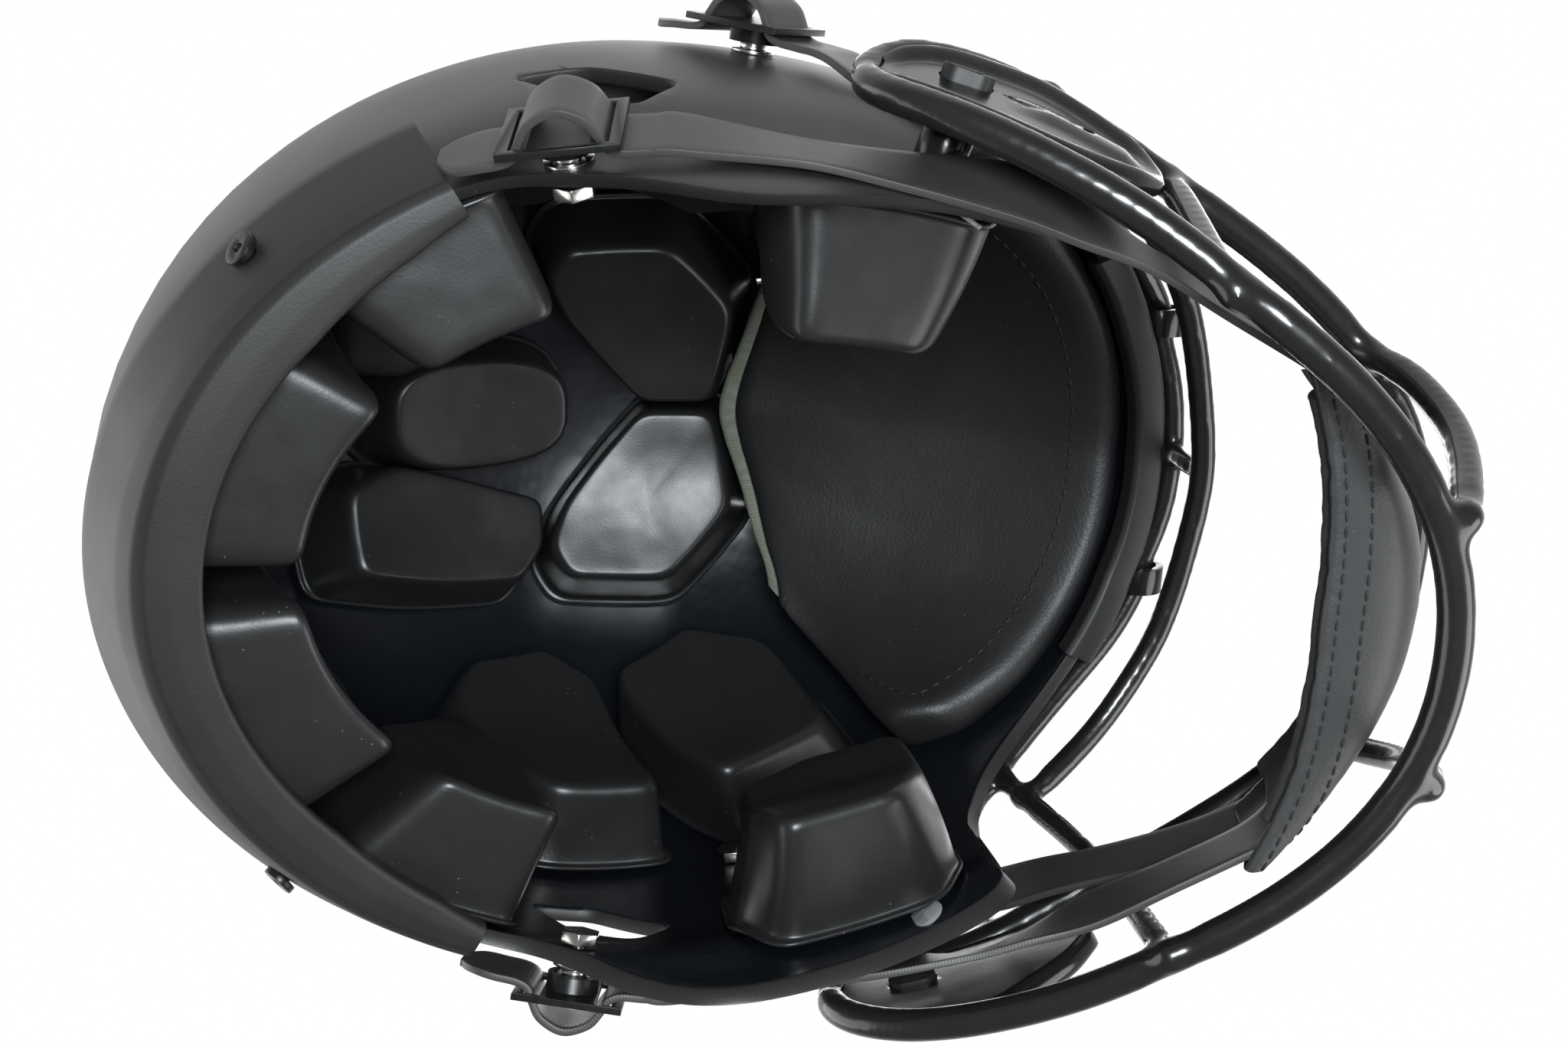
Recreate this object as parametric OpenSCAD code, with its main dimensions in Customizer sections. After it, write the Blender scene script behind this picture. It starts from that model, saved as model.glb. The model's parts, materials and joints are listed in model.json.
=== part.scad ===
// Football helmet with a wire face guard, a four-point chin strap and moulded pads.
// The head form is drawn as worn: ears left and right, face towards -Y, +Z up.
// The whole helmet is then tipped back until the face guard and the rear bumper rest on the table.

/* [Shell] */
// Half width of the shell at its widest
shell_half_w = 117; // [108:0.5:122]
// Reach of the forehead in front of the ear line
shell_front = 158; // [150:0.5:164]
// Reach of the back of the head behind the ear line
shell_back = 138; // [130:0.5:144]
// Height of the crown above the widest level
shell_dome = 115; // [106:0.5:120]
// Thickness of the moulded shell
shell_t = 4; // [3:0.1:5]

/* [Face guard] */
// Diameter of the coated wire
wire_d = 7.3; // [5.5:0.1:8]
// Bore of a brow clip beyond the wire
clip_slack = 3.4; // [2.6:0.1:4]

/* [Fittings] */
// Width of the webbing
strap_w = 20; // [16:0.5:22]
// Thickness of the webbing
strap_t = 1.8; // [1.2:0.1:2.4]
// Diameter of a snap stud's cap
stud_d = 9; // [8:0.5:12]
// Height of a snap stud above the shell
stud_h = 4.5; // [3.5:0.1:6]
// Running clearance between fitted pieces
fit = 0.3; // [0.2:0.05:0.5]

/* [Pads] */
// Gap between the shell and the back of a pad
pad_gap = 1.4; // [0.8:0.1:2]
// Thickness of the crown pads
crown_pad_t = 24; // [18:0.5:26]
// Thickness of the side pads
side_pad_t = 26; // [20:0.5:28]
// Thickness of the rear and jaw pads
rear_pad_t = 33; // [26:0.5:34]

/* [Hidden] */
tip = 15.5;
seat_y = 7.97;
seat_z = -25.55;
ear_y = -14;
wide_z = 150;
front_power = 2.1;
back_power = 1.97;
dome_power = 2.15;
low_span = 125;
low_w = 26;
low_front = 16;
low_back = 50;
segments = 24;
$fn = segments;

// Vector helpers
function unit(v) = v / norm(v);
function mirror_x(p) = [-p[0], p[1], p[2]];
function mirrored(path) = [for (i = [len(path) - 1:-1:1]) mirror_x(path[i])];
function both_sides(path) = concat(mirrored(path), path);

// Half sizes of the head form at a height, a distance off inside the outer surface
function dome_scale(z, off) =
    z <= wide_z ? 1 : pow(max(0, 1 - pow((z - wide_z) / (shell_dome - off), dome_power)), 1 / dome_power);
function below(z) = max(0, (wide_z - z) / low_span);
function waist(z) = 4.6 * exp(-pow((z - 58) / 16, 2));
function half_w(z, off) =
    (shell_half_w - off) * dome_scale(z, off) - low_w * pow(below(z), 1.8) - waist(z);
function half_l(z, off, back) =
    back ? (shell_back - off) * dome_scale(z, off) - low_back * pow(below(z), 3)
         : (shell_front - off) * dome_scale(z, off) - low_front * pow(below(z), 1.6);
function plan_power(back) = back ? back_power : front_power;

// Point of the form at a compass angle and a height: 0 is the face, 90 is the left ear
function wall_reach(az, z, off) =
    let (back = cos(az) < 0, n = plan_power(back))
    1 / pow(pow(abs(sin(az)) / half_w(z, off), n) + pow(abs(cos(az)) / half_l(z, off, back), n), 1 / n);
function wall_pt(az, z, off) =
    let (r = wall_reach(az, z, off)) [r * sin(az), ear_y - r * cos(az), z];

// Point of the form along a direction from the middle of the head
function heading(az, el) = [cos(el) * sin(az), -cos(el) * cos(az), sin(el)];
function plan_sum(d, w, l, n) = pow(abs(d[0]) / w, n) + pow(abs(d[1]) / l, n);
function dome_reach(d, off) =
    let (back = d[1] > 0, n = plan_power(back))
    let (s = plan_sum(d, shell_half_w - off, (back ? shell_back : shell_front) - off, n))
    pow(pow(s, dome_power / n) + pow(d[2] / (shell_dome - off), dome_power), -1 / dome_power);
function low_reach(d, off, r = 110, turns = 6) =
    turns == 0 ? r :
    let (back = d[1] > 0, n = plan_power(back), z = wide_z + r * d[2])
    low_reach(d, off, pow(plan_sum(d, half_w(z, off), half_l(z, off, back), n), -1 / n), turns - 1);
function form_reach(d, off) = d[2] >= 0 ? dome_reach(d, off) : low_reach(d, off);
function form_pt(d, off) = [0, ear_y, wide_z] + form_reach(d, off) * d;
function patch_dir(az, el, p) =
    let (d = heading(az, el), side = [cos(az), sin(az), 0], up = cross(d, side))
    unit(form_reach(d, 0) * d + p[0] * side + p[1] * up);
function patch_pt(az, el, p, off) = form_pt(patch_dir(az, el, p), off);

// Half width and lean of the shell's side at a place, as worn
function side_x(y, z, off) =
    let (back = y > ear_y, n = plan_power(back))
    half_w(z, off) * pow(max(0, 1 - pow(abs(y - ear_y) / half_l(z, off, back), n)), 1 / n);
function side_lean(y, z) = atan((side_x(y, z + 3, 0) - side_x(y, z - 3, 0)) / 6);
function side_yaw(y, z) = atan((side_x(y + 3, z, 0) - side_x(y - 3, z, 0)) / 6);

// Smooth curve through points, and its closed skins
function pick(path, i) = path[max(0, min(len(path) - 1, i))];
function bend(a, b, c, d, t) =
    0.5 * (2 * b + (c - a) * t + (2 * a - 5 * b + 4 * c - d) * t * t + (3 * b - a - 3 * c + d) * t * t * t);
function smooth(path, per) =
    [for (i = [0:len(path) - 2], k = [0:per - 1])
        bend(pick(path, i - 1), path[i], path[i + 1], pick(path, i + 2), k / per), path[len(path) - 1]];
function course(path, i) = unit(pick(path, i + 1) - pick(path, i - 1));
function lift(t, up) = unit(up - (up * t) * t);
function round_ring(path, i, r, sides, up) =
    let (t = course(path, i), b = lift(t, up), n = cross(b, t))
    [for (k = [0:sides - 1]) path[i] + r * (cos(360 * k / sides) * n + sin(360 * k / sides) * b)];
function flat_ring(path, i, w, t, up) =
    let (dir = course(path, i), b = lift(dir, up[i]), n = cross(b, dir))
    [path[i] + w / 2 * b + t / 2 * n, path[i] + w / 2 * b - t / 2 * n,
     path[i] - w / 2 * b - t / 2 * n, path[i] - w / 2 * b + t / 2 * n];
function skin_faces(n, m) = concat(
    [[for (i = [0:n - 1]) i]],
    [for (k = [0:m - 2], i = [0:n - 1]) each [
        [k * n + n + i, k * n + n + (i + 1) % n, k * n + (i + 1) % n],
        [k * n + n + i, k * n + (i + 1) % n, k * n + i]]],
    [[for (i = [n - 1:-1:0]) (m - 1) * n + i]]);
function middle(ring) = [for (axis = [0:2]) [for (p = ring) p[axis]] * [for (p = ring) 1] / len(ring)];
function capped_faces(n, m) = concat(
    [for (i = [0:n - 1]) [n * m, i, (i + 1) % n]],
    [for (k = [0:m - 2], i = [0:n - 1]) each [
        [k * n + n + i, k * n + n + (i + 1) % n, k * n + (i + 1) % n],
        [k * n + n + i, k * n + (i + 1) % n, k * n + i]]],
    [for (i = [0:n - 1]) [n * m + 1, (m - 1) * n + (i + 1) % n, (m - 1) * n + i]]);
module skin(rings) {
    n = len(rings[0]);
    polyhedron(points = [for (ring = rings) each ring], faces = skin_faces(n, len(rings)));
}
module capped_skin(rings, first, last) {
    n = len(rings[0]);
    polyhedron(points = concat([for (ring = rings) each ring], [first, last]), faces = capped_faces(n, len(rings)));
}
module wire(path, per = 2, up = [-1, 0, 1], sides = 8) {
    line = smooth(path, per);
    skin([for (i = [0:len(line) - 1]) round_ring(line, i, wire_d / 2, sides, up)]);
}

// Layer cut to an outline on the form: each step is [scale of the outline, depth under the outer surface]
module patch(az, el, outline, steps, first, last) {
    turned = [for (i = [len(outline) - 1:-1:0]) outline[i]];
    capped_skin([for (s = steps) [for (p = turned) patch_pt(az, el, p * s[0], s[1])]],
        patch_pt(az, el, [0, 0], first), patch_pt(az, el, [0, 0], last));
}
module plate(az, el, outline, outer, inner) {
    patch(az, el, outline, [[0.35, outer], [0.7, outer], [1, outer], [1, inner], [0.7, inner], [0.35, inner]],
        outer, inner);
}
// Foam pad in a moulded skin: a thin flange against the shell, drafted walls, rounded shoulder and a crown
module pad(az, el, outline, thick, draft = 0.94) {
    seat = shell_t + pad_gap;
    top = seat + thick;
    patch(az, el, outline, [[0.6, seat], [1, seat], [1, seat + 1.3], [0.94, seat + 1.7],
        [draft + 0.02, top - 4], [draft - 0.02, top - 1.2], [draft - 0.12, top]], seat, top + 0.6);
}
function oblong(w, h, n = 2.6, count = 20) =
    [for (i = [0:count - 1]) let (a = 360 * i / count)
        [w / 2 * sign(cos(a)) * pow(abs(cos(a)), 2 / n), h / 2 * sign(sin(a)) * pow(abs(sin(a)), 2 / n)]];
function rounded(corners, r, per = 2) =
    [for (i = [0:len(corners) - 1])
        let (p = corners[i], a = unit(corners[(i + len(corners) - 1) % len(corners)] - p),
             b = unit(corners[(i + 1) % len(corners)] - p))
        for (k = [0:per]) let (t = k / per) (1 - t) * (1 - t) * (p + a * r) + 2 * t * (1 - t) * p + t * t * (p + b * r)];

module worn() { translate([0, seat_y, seat_z]) rotate([-tip, 0, 0]) children(); }
module on_table() { translate([0, seat_y, 0]) children(); }
module pair() { children(); mirror([1, 0, 0]) children(); }

// Rim of the shell from the middle of the brow to the nape: [compass angle of the column, angle of the rim, height]
rim = [[0, 0, 156], [14, 14, 154.5], [28, 28, 147], [36, 36, 138], [40.5, 41.5, 126], [42.5, 45.5, 108],
    [44, 47, 88], [45.5, 46.5, 66], [47.5, 44.5, 51], [50.5, 46.5, 43], [56, 54, 37.5], [68, 68, 30],
    [84, 84, 25], [92, 92, 28], [99.5, 99.5, 37], [107, 107, 50], [114, 114, 59], [130, 130, 61.5],
    [155, 155, 61.5], [180, 180, 61.5]];
rim_columns = 38;
shell_rows = 14;
function rim_at(k) =
    let (j = k <= rim_columns ? k : 2 * rim_columns - k, t = j / rim_columns * (len(rim) - 1), i = min(floor(t), len(rim) - 2))
    let (p = rim[i] + (rim[i + 1] - rim[i]) * (t - i))
    k <= rim_columns ? p : [-p[0], -p[1], p[2]];
function rim_el(p) = let (q = wall_pt(p[1], p[2], 0) - [0, ear_y, wide_z]) atan2(q[2], norm([q[0], q[1]]));
function shell_dir(k, v) =
    let (p = rim_at(k), el = rim_el(p), az = p[0] + (p[1] - p[0]) * pow(1 - v, 3))
    heading(az, el + (90 - el) * pow(v, 1.2));

panel_el = 50;
panel_outline = rounded([[-44, 30], [-41, -6], [-32, -40], [32, -40], [41, -6], [44, 30]], 8);
panel_slot = 2.6;
panel_hinge_gap = 0.4;
ear_hole = rounded([[18, 14], [0, 13.5], [-19, -4.5], [-6, -16], [7, -7]], 4);
rear_vent = oblong(34, 9);

module vents() {
    pair() {
        plate(98.9, -27.7, ear_hole, -6, shell_t + 6);
        plate(144, 46, rear_vent, -6, shell_t + 6);
    }
}
module panel_opening() {
    grow = [for (p = panel_outline) p + unit(p) * (p[1] > 29 ? panel_hinge_gap : panel_slot)];
    plate(0, panel_el, grow, -6, shell_t + 6);
}
module shell() {
    count = 2 * rim_columns;
    rings = 2 * shell_rows;
    outer = [for (j = [0:shell_rows - 1], k = [0:count - 1]) form_pt(shell_dir(k, j / shell_rows), 0)];
    inner = [for (j = [0:shell_rows - 1], k = [0:count - 1]) form_pt(shell_dir(k, j / shell_rows), shell_t)];
    half = shell_rows * count;
    points = concat(outer, inner, [form_pt([0, 0, 1], 0), form_pt([0, 0, 1], shell_t)]);
    faces = concat(
        [for (j = [0:shell_rows - 2], k = [0:count - 1]) let (a = j * count + k, b = j * count + (k + 1) % count)
            each [[a, a + count, b + count], [a, b + count, b]]],
        [for (j = [0:shell_rows - 2], k = [0:count - 1])
            let (a = half + j * count + k, b = half + j * count + (k + 1) % count)
            each [[a, b + count, a + count], [a, b, b + count]]],
        [for (k = [0:count - 1]) let (a = (shell_rows - 1) * count + k, b = (shell_rows - 1) * count + (k + 1) % count)
            [a, 2 * half, b]],
        [for (k = [0:count - 1])
            let (a = half + (shell_rows - 1) * count + k, b = half + (shell_rows - 1) * count + (k + 1) % count)
            [a, b, 2 * half + 1]],
        [for (k = [0:count - 1]) let (a = k, b = (k + 1) % count) each [[a, b, half + b], [a, half + b, half + a]]]);
    color("#1c1c1e") worn() difference() {
        polyhedron(points = points, faces = faces);
        vents();
        panel_opening();
    }
}
module flex_panel() {
    color("#232325") worn() plate(0, panel_el, panel_outline, 0, shell_t);
}

// Rubber and foam along the rim: each column is a closed section of [depth, height] points
function rim_section(az, section) = [for (q = section) wall_pt(az, q[1], q[0])];
module rim_band(from, to, step) {
    skin([for (az = [to:-step:from]) rim_section(az, bumper_section(az))]);
}
function lip(az) = lookup(180 - abs(180 - az), [[118, 5], [128, 8.5], [145, 11.5], [180, 12]]);
function bumper_section(az) = [[-3.8, 84], [-0.9, 84], [-0.9, 60.9], [lip(az) / 2, 60.9], [lip(az) - 0.5, 60.9],
    [lip(az), 60], [lip(az) - 1, 56.6], [lip(az) - 2.4, 55.8], [lip(az) * 0.3, 55.4], [-2, 55.5], [-3.8, 57],
    [-4.2, 62], [-4.2, 80]];
module rear_bumper() {
    color("#161617") worn() difference() {
        rim_band(120, 240, 5);
        for (az = [142, 218]) screw_place(az, 73, 0) cylinder(d = 4.4, h = 12, center = true);
    }
}
function brow_rim(az) = lookup(abs(az), [[0, 155.6], [14, 154], [24, 148.5]]);
function brow_top(az) = lookup(abs(az), [[10, 19], [11.5, 2.4]]);
function brow_section(az) = let (z = brow_rim(az), up = brow_top(az))
    [[-2.7, z + up], [-0.7, z + up], [-0.7, z - 0.2], [4.5, z - 0.2], [4.5, z + 4], [6.4, z + 4], [6.6, z - 2],
        [5, z - 3.4], [-1.5, z - 3.4], [-2.9, z - 2]];
module front_bumper() {
    color("#161617") worn() difference() {
        skin([for (az = [24, 20, 16, 11.5, 10, 5, 0, -5, -10, -11.5, -16, -20, -24]) rim_section(az, brow_section(az))]);
        for (az = [-7, 7]) screw_place(az, 168, 0) cylinder(d = 4.4, h = 12, center = true);
    }
}
module screw_place(az, z, off) {
    p = wall_pt(az, z, off);
    tilt = atan2(wall_reach(az, z + 3, 0) - wall_reach(az, z - 3, 0), 6);
    translate(p) rotate([0, 0, az]) rotate([90 + tilt, 0, 0]) children();
}
module pan_screw(head_d, head_h, shank_d, shank_l) {
    difference() {
        union() {
            cylinder(d = head_d, h = head_h, $fn = 16);
            translate([0, 0, -shank_l]) cylinder(d = shank_d, h = shank_l + 0.1, $fn = 12);
        }
        translate([0, 0, head_h - 1]) cylinder(d = 2.6, h = 2, $fn = 6);
    }
}
module rear_bumper_screws() {
    color("#2b2b2d") worn() for (az = [142, 218]) screw_place(az, 73, -4.2) pan_screw(8, 1.8, 4, 8);
}
module front_bumper_screws() {
    color("#2b2b2d") worn() for (az = [-7, 7]) screw_place(az, 168, -3.2) pan_screw(7.5, 1.8, 4, 7);
}

// Face guard: halves of the bent wires, in the place where they stand on the table.
// They were drawn for one shell, and spread with its width and its reach.
drawn_half_w = 117;
drawn_front = 158;
side_k = shell_half_w / drawn_half_w;
front_k = shell_front / drawn_front;
function spread(path) = [for (p = path) [p[0] * side_k, p[1] * front_k, p[2]]];
chin_path = spread([[0, -161.5, 3.7], [15, -160, 3.7], [29, -155.5, 3.7], [44, -146.5, 3.9], [57, -134.5, 4.5],
    [68, -120.5, 5.5], [77, -107.5, 8], [88, -92.5, 11.5], [97, -75, 15.5], [103.5, -60, 20], [107.5, -48, 25],
    [109.8, -39, 31], [111.4, -34.5, 38], [112.8, -33.5, 45]]);
mouth_path = spread([[0, -176, 80], [25, -173, 80], [40, -165, 79], [57, -151, 78], [73, -132, 77], [90, -105, 74],
    [108, -76, 69], [114.5, -58, 66.5], [117, -47, 63.5], [116.6, -39, 58], [114.6, -34.5, 52], [112.8, -33.5, 45]]);
lower_brow_path = spread([[0, -136, 150], [21, -133.5, 150], [42, -129, 149], [57, -123, 147], [78, -109, 140],
    [93, -90, 126]]);
upper_brow_path = spread([[0, -131, 174.3], [18, -129.6, 174.5], [31, -126, 175.1], [36, -124.7, 175.4], [44, -123.8, 175.1],
    [58, -115, 168], [72, -102, 160], [88, -86, 147], [100, -73, 130]]);
chin_upright_path = spread([[50.5, -157, 76], [48, -163, 66], [45, -166, 56], [41, -168, 44], [37, -167, 31],
    [33, -164, 18], [29.5, -160, 5]]);
side_upright_path = spread([[74.5, -109, 6], [80, -107.5, 32], [90, -105.5, 74], [92.5, -97, 104], [93.5, -88, 126],
    [93, -81, 146]]);
temple_path = spread([[100, -73, 130], [105.5, -72, 112], [108.5, -73.5, 90], [108.5, -75.5, 70]]);
module guard_color() { color("#0d0d0e") on_table() children(); }
module chin_bar() { guard_color() wire(both_sides(chin_path), 1); }
module mouth_bar() { guard_color() wire(both_sides(mouth_path), 1); }
module lower_brow_bar() { guard_color() wire(both_sides(lower_brow_path)); }
module upper_brow_bar() { guard_color() wire(both_sides(upper_brow_path)); }
module brow_strut() {
    top = upper_brow_path[0];
    run = lower_brow_path[0] - top;
    guard_color() translate(top) rotate([90 + atan2(-run[2], -run[1]), 0, 0]) cylinder(d = 6, h = norm(run), $fn = 12);
}
module chin_uprights() { guard_color() pair() wire(chin_upright_path, 2, [1, 0, 0]); }
module side_uprights() { guard_color() pair() wire(side_upright_path, 2, [1, 0, 0]); }
module temple_bars() { guard_color() pair() wire(temple_path, 2, [1, 0, 0]); }

hinge_y = -124.1 * front_k;
hinge_z = 175.3;
clip_x = 40 * side_k;
clip_bore = wire_d + clip_slack;
module clip_screw_place(off) { screw_place(15.2, 182, off) children(); }
clip_plate = [14, 26, 4];
module clip_loop(d, h) {
    on_table() translate([clip_x, hinge_y, hinge_z]) rotate([0, 90, 0]) cylinder(d = d, h = h, center = true);
}
module brow_clips() {
    color("#141415") pair() difference() {
        union() {
            clip_loop(clip_bore + 4.6, 8);
            on_table() translate([clip_x - 3.2, hinge_y + 2, hinge_z + 2.6]) rotate([-20, 0, 0]) cube([6.4, 8, 12]);
            worn() clip_screw_place(-fit) translate([-clip_plate[0] / 2, -clip_plate[1] / 2, -1]) cube(clip_plate);
        }
        clip_loop(clip_bore, 20);
        worn() clip_screw_place(-fit) translate([-20, -35, -12]) cube([40, 70, 12]);
        worn() clip_screw_place(0) cylinder(d = 4.6, h = 20, center = true);
    }
}
module brow_clip_screws() {
    color("#2b2b2d") worn() pair() clip_screw_place(-3.9) pan_screw(7.5, 2, 4, 8);
}

// Quick-release side clips: a web between the chin bar and the mouth bar, with a button on each side
clip_stations = [for (ends = [[[111.2, -36.5, 35], [114.6, -36, 53]], [[109, -43, 28.5], [116.6, -42.5, 60]],
    [[107, -50, 24], [116.2, -51.5, 64]], [[103.5, -60, 20], [113.5, -61.5, 66.5]],
    [[98.8, -72, 18.5], [109.5, -73, 67.5]], [[95, -82, 24], [103.5, -84, 64]],
    [[92, -91, 31], [97.5, -93, 59]], [[89.8, -97.5, 40], [91.8, -98.5, 51]]]) spread(ends)];
clip_t = 5.4;
button_at = spread([[110.2, -55, 47]])[0];
button_yaw = -17;
button_travel = 2.5;
function clip_ring(i) =
    let (a = clip_stations[i][0], b = clip_stations[i][1], m = (a + b) / 2)
    let (before = clip_stations[max(0, i - 1)], after = clip_stations[min(len(clip_stations) - 1, i + 1)])
    let (n = unit(cross(unit(b - a), unit(before[0] + before[1] - after[0] - after[1]))), o = n[0] > 0 ? n : -n)
    let (e = unit(b - a) * 1.6, h = o * clip_t / 2)
    [b + h - e, b + h * 0.4, b - h * 0.4, b - h - e, m - h, a - h + e, a - h * 0.4, a + h * 0.4, a + h + e, m + h];
module oval(w, h, deep) {
    rotate([90, 0, 90 + button_yaw]) linear_extrude(deep, center = true)
        union() {
            for (s = [-1, 1]) translate([s * (w - h) / 2, 0]) circle(d = h);
            square([w - h, h], center = true);
        }
}
module side_clip() {
    guard_color() difference() {
        skin([for (i = [0:len(clip_stations) - 1]) clip_ring(i)]);
        wire(mouth_path, 1);
        translate(button_at) oval(12 + 2 * fit + 0.2, 7 + 2 * fit + 0.2, 30);
        translate(spread([[106.3, -74, 45]])[0]) rotate([0, 0, -24]) cube([4, 22, 6], center = true);
    }
}
module side_clip_left() { side_clip(); }
module side_clip_right() { mirror([1, 0, 0]) side_clip(); }
module release_button() {
    color("#101011") on_table() translate(button_at) {
        translate([0.4, 0, 0]) oval(12, 7, 8.4);
        translate([4.6, 0.1, 0]) oval(9, 4, 1);
    }
}
module release_button_left() { release_button(); }
module release_button_right() { mirror([1, 0, 0]) release_button(); }
module side_clip_bosses() {
    color("#141415") pair() difference() {
        on_table() translate(button_at) rotate([0, 90, button_yaw]) translate([0, 0, -22]) cylinder(d = 12, h = 14.5);
        worn() side_block(-0.3);
    }
}
module side_block(off) {
    patch(72, -25, oblong(120, 120, 4), [[0.3, off], [0.65, off], [1, off], [1, 30], [0.5, 30]], off, 30);
}

// Snap studs: lower pair behind the jaw, upper pair above the temples
lower_stud = [13, 57];
upper_stud = [-42, 133];
module stud_place(spot, turn) {
    translate([side_x(spot[0], spot[1], 0), spot[0], spot[1]])
        rotate([0, 90 + side_lean(spot[0], spot[1]), -side_yaw(spot[0], spot[1])]) rotate([0, 0, turn]) children();
}
module stud_pairs(turn_low = 15.5, turn_high = 43) {
    worn() pair() {
        stud_place(lower_stud, turn_low) children();
        stud_place(upper_stud, turn_high) children();
    }
}
module snap_studs() {
    color("#b9bcc0") stud_pairs() rotate_extrude($fn = 16) polygon([[0, 0.2], [5.5, 0.2], [5.5, 1.1], [3.4, 1.3], [3.4, 2.6],
        [stud_d / 2 - 0.3, 3], [stud_d / 2, 3.6], [stud_d / 2 - 0.4, stud_h - 0.3], [stud_d / 2 - 1.4, stud_h], [0, stud_h]]);
}
module stud_nuts() {
    color("#b9bcc0") stud_pairs() {
        translate([0, 0, -shell_t - 3.4]) cylinder(d = 10, h = 3, $fn = 6);
        translate([0, 0, -shell_t - 3.4]) cylinder(d = 4, h = shell_t + 3.5);
    }
}
module buckle() {
    difference() {
        translate([-12.75, -13, 6.6]) cube([25.5, 26, 1.6]);
        for (s = [-1, 1]) translate([-10.75, s * 8.5 - 1.9, 6]) cube([21.5, 3.8, 3]);
    }
    difference() {
        translate([0, 0, 2.9]) cylinder(d = stud_d + 3.6, h = 3.9);
        translate([0, 0, 2]) cylinder(d = stud_d + 0.9, h = 3.4);
    }
}
module lower_buckles() { color("#19191a") worn() pair() stud_place(lower_stud, 15.5) buckle(); }
module upper_buckles() { color("#19191a") worn() pair() stud_place(upper_stud, 43) buckle(); }

// Straps: a ribbon that threads its buckle at the stud and runs forward to the chin cup
function to_table(p) = [p[0], p[1] * cos(tip) + p[2] * sin(tip), p[2] * cos(tip) - p[1] * sin(tip) + seat_z];
function to_worn(y, z) = [y * cos(tip) - (z - seat_z) * sin(tip), (z - seat_z) * cos(tip) + y * sin(tip)];
function beside(y, z, gap) = let (w = to_worn(y, z)) [side_x(w[0], w[1], 0) + gap, y, z];
function about_z(v, a) = [v[0] * cos(a) + v[1] * sin(a), -v[0] * sin(a) + v[1] * cos(a), v[2]];
function stud_axes(spot, turn) =
    let (lean = side_lean(spot[0], spot[1]), yaw = side_yaw(spot[0], spot[1]))
    let (down = about_z([-sin(lean), 0, -cos(lean)], yaw), rear = about_z([0, 1, 0], yaw))
    [cos(turn) * down + sin(turn) * rear, cos(turn) * rear - sin(turn) * down,
        about_z([cos(lean), 0, -sin(lean)], yaw)];
function turned_down(v) = to_table(v) - to_table([0, 0, 0]);
ribbon_arch = [[27, 3.6], [23, 3.6], [18, 4.2], [12.5, 4.7], [9.6, 6], [8.2, 8.8], [5.6, 12.4], [0, 14.6],
    [-5.6, 12.4], [-8.2, 8.8], [-9.6, 6], [-12.5, 4.7], [-18, 4.3], [-25, 3.6]];
function arch_pts(spot, turn) =
    let (base = [side_x(spot[0], spot[1], 0), spot[0], spot[1]], axes = stud_axes(spot, turn))
    [for (q = ribbon_arch) to_table(base + q[0] * axes[1] + q[1] * axes[2])];
module ribbon(spot, turn, ahead, per = 1) {
    arch = arch_pts(spot, turn);
    across = turned_down(stud_axes(spot, turn)[0]);
    path = concat(arch, ahead);
    ups = concat([for (p = arch) -across], [for (p = ahead) unit([p[1] > -70 ? 0.16 : 0, 0, 1])]);
    line = smooth(path, per);
    lift_up = smooth(ups, per);
    on_table() skin([for (i = [0:len(line) - 1]) flat_ring(line, i, strap_w, strap_t, lift_up)]);
}
lower_ahead = concat([beside(-22, 30, 2.4), beside(-45, 29.5, 2.6)],
    spread([[90.6, -66, 29.5], [85, -80, 30], [77.5, -95, 31], [68, -113, 32], [58.5, -130, 33], [53, -136.5, 33]]));
upper_ahead = concat([beside(-36, 95, 2.6), beside(-50, 87, 3)],
    spread([[100.5, -63, 79], [94, -77, 71], [85, -91, 63], [76, -107, 56], [67, -124, 51], [58.5, -138, 49],
        [53, -144, 49]]));
module lower_straps() { color("#1b1b1c") pair() ribbon(lower_stud, 15.5, lower_ahead); }
module upper_straps() { color("#1b1b1c") pair() ribbon(upper_stud, 43, upper_ahead); }

// Chin cup: a curved band under and in front of the chin, with a soft liner
cup_stations = [for (q = [[0, -138, -161, 62], [14, -138, -160, 62], [28, -137, -157, 61.5], [40, -135, -151.5, 60.5],
    [50, -132, -145, 59.5], [57, -129.5, -139, 58.5], [61, -128, -135, 57]])
    [q[0] * side_k, q[1] * front_k, q[2] * front_k, q[3]]];
function cup_profile(q) =
    let (back = q[1], front = q[2], m = back + (front - back) * 0.62)
    smooth([[back, 20.5], [m, 23.5], [front + 2.2, 37], [front, 50], [front + 0.5, q[3]]], 2);
function inward(path, i) = let (d = unit(pick(path, i + 1) - pick(path, i - 1))) [-d[1], d[0]];
function cup_ring(q, side, t0, t1) =
    let (path = cup_profile(q), n = len(path) - 1)
    concat([for (i = [n:-1:0]) let (p = path[i] - t0 * inward(path, i)) [side * q[0], p[0], p[1]]],
        [for (i = [0:n]) let (p = path[i] - t1 * inward(path, i)) [side * q[0], p[0], p[1]]]);
module cup_layer(t0, t1, reach) {
    stations = [for (q = cup_stations) if (q[0] < reach * side_k) q];
    on_table() skin(concat([for (i = [len(stations) - 1:-1:1]) cup_ring(stations[i], -1, t0, t1)],
        [for (q = stations) cup_ring(q, 1, t0, t1)]));
}
module chin_cup() { color("#1a1a1b") cup_layer(0, 3.2, 70); }
module chin_cup_liner() { color("#242425") cup_layer(3.2, 8.5, 55); }

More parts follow.
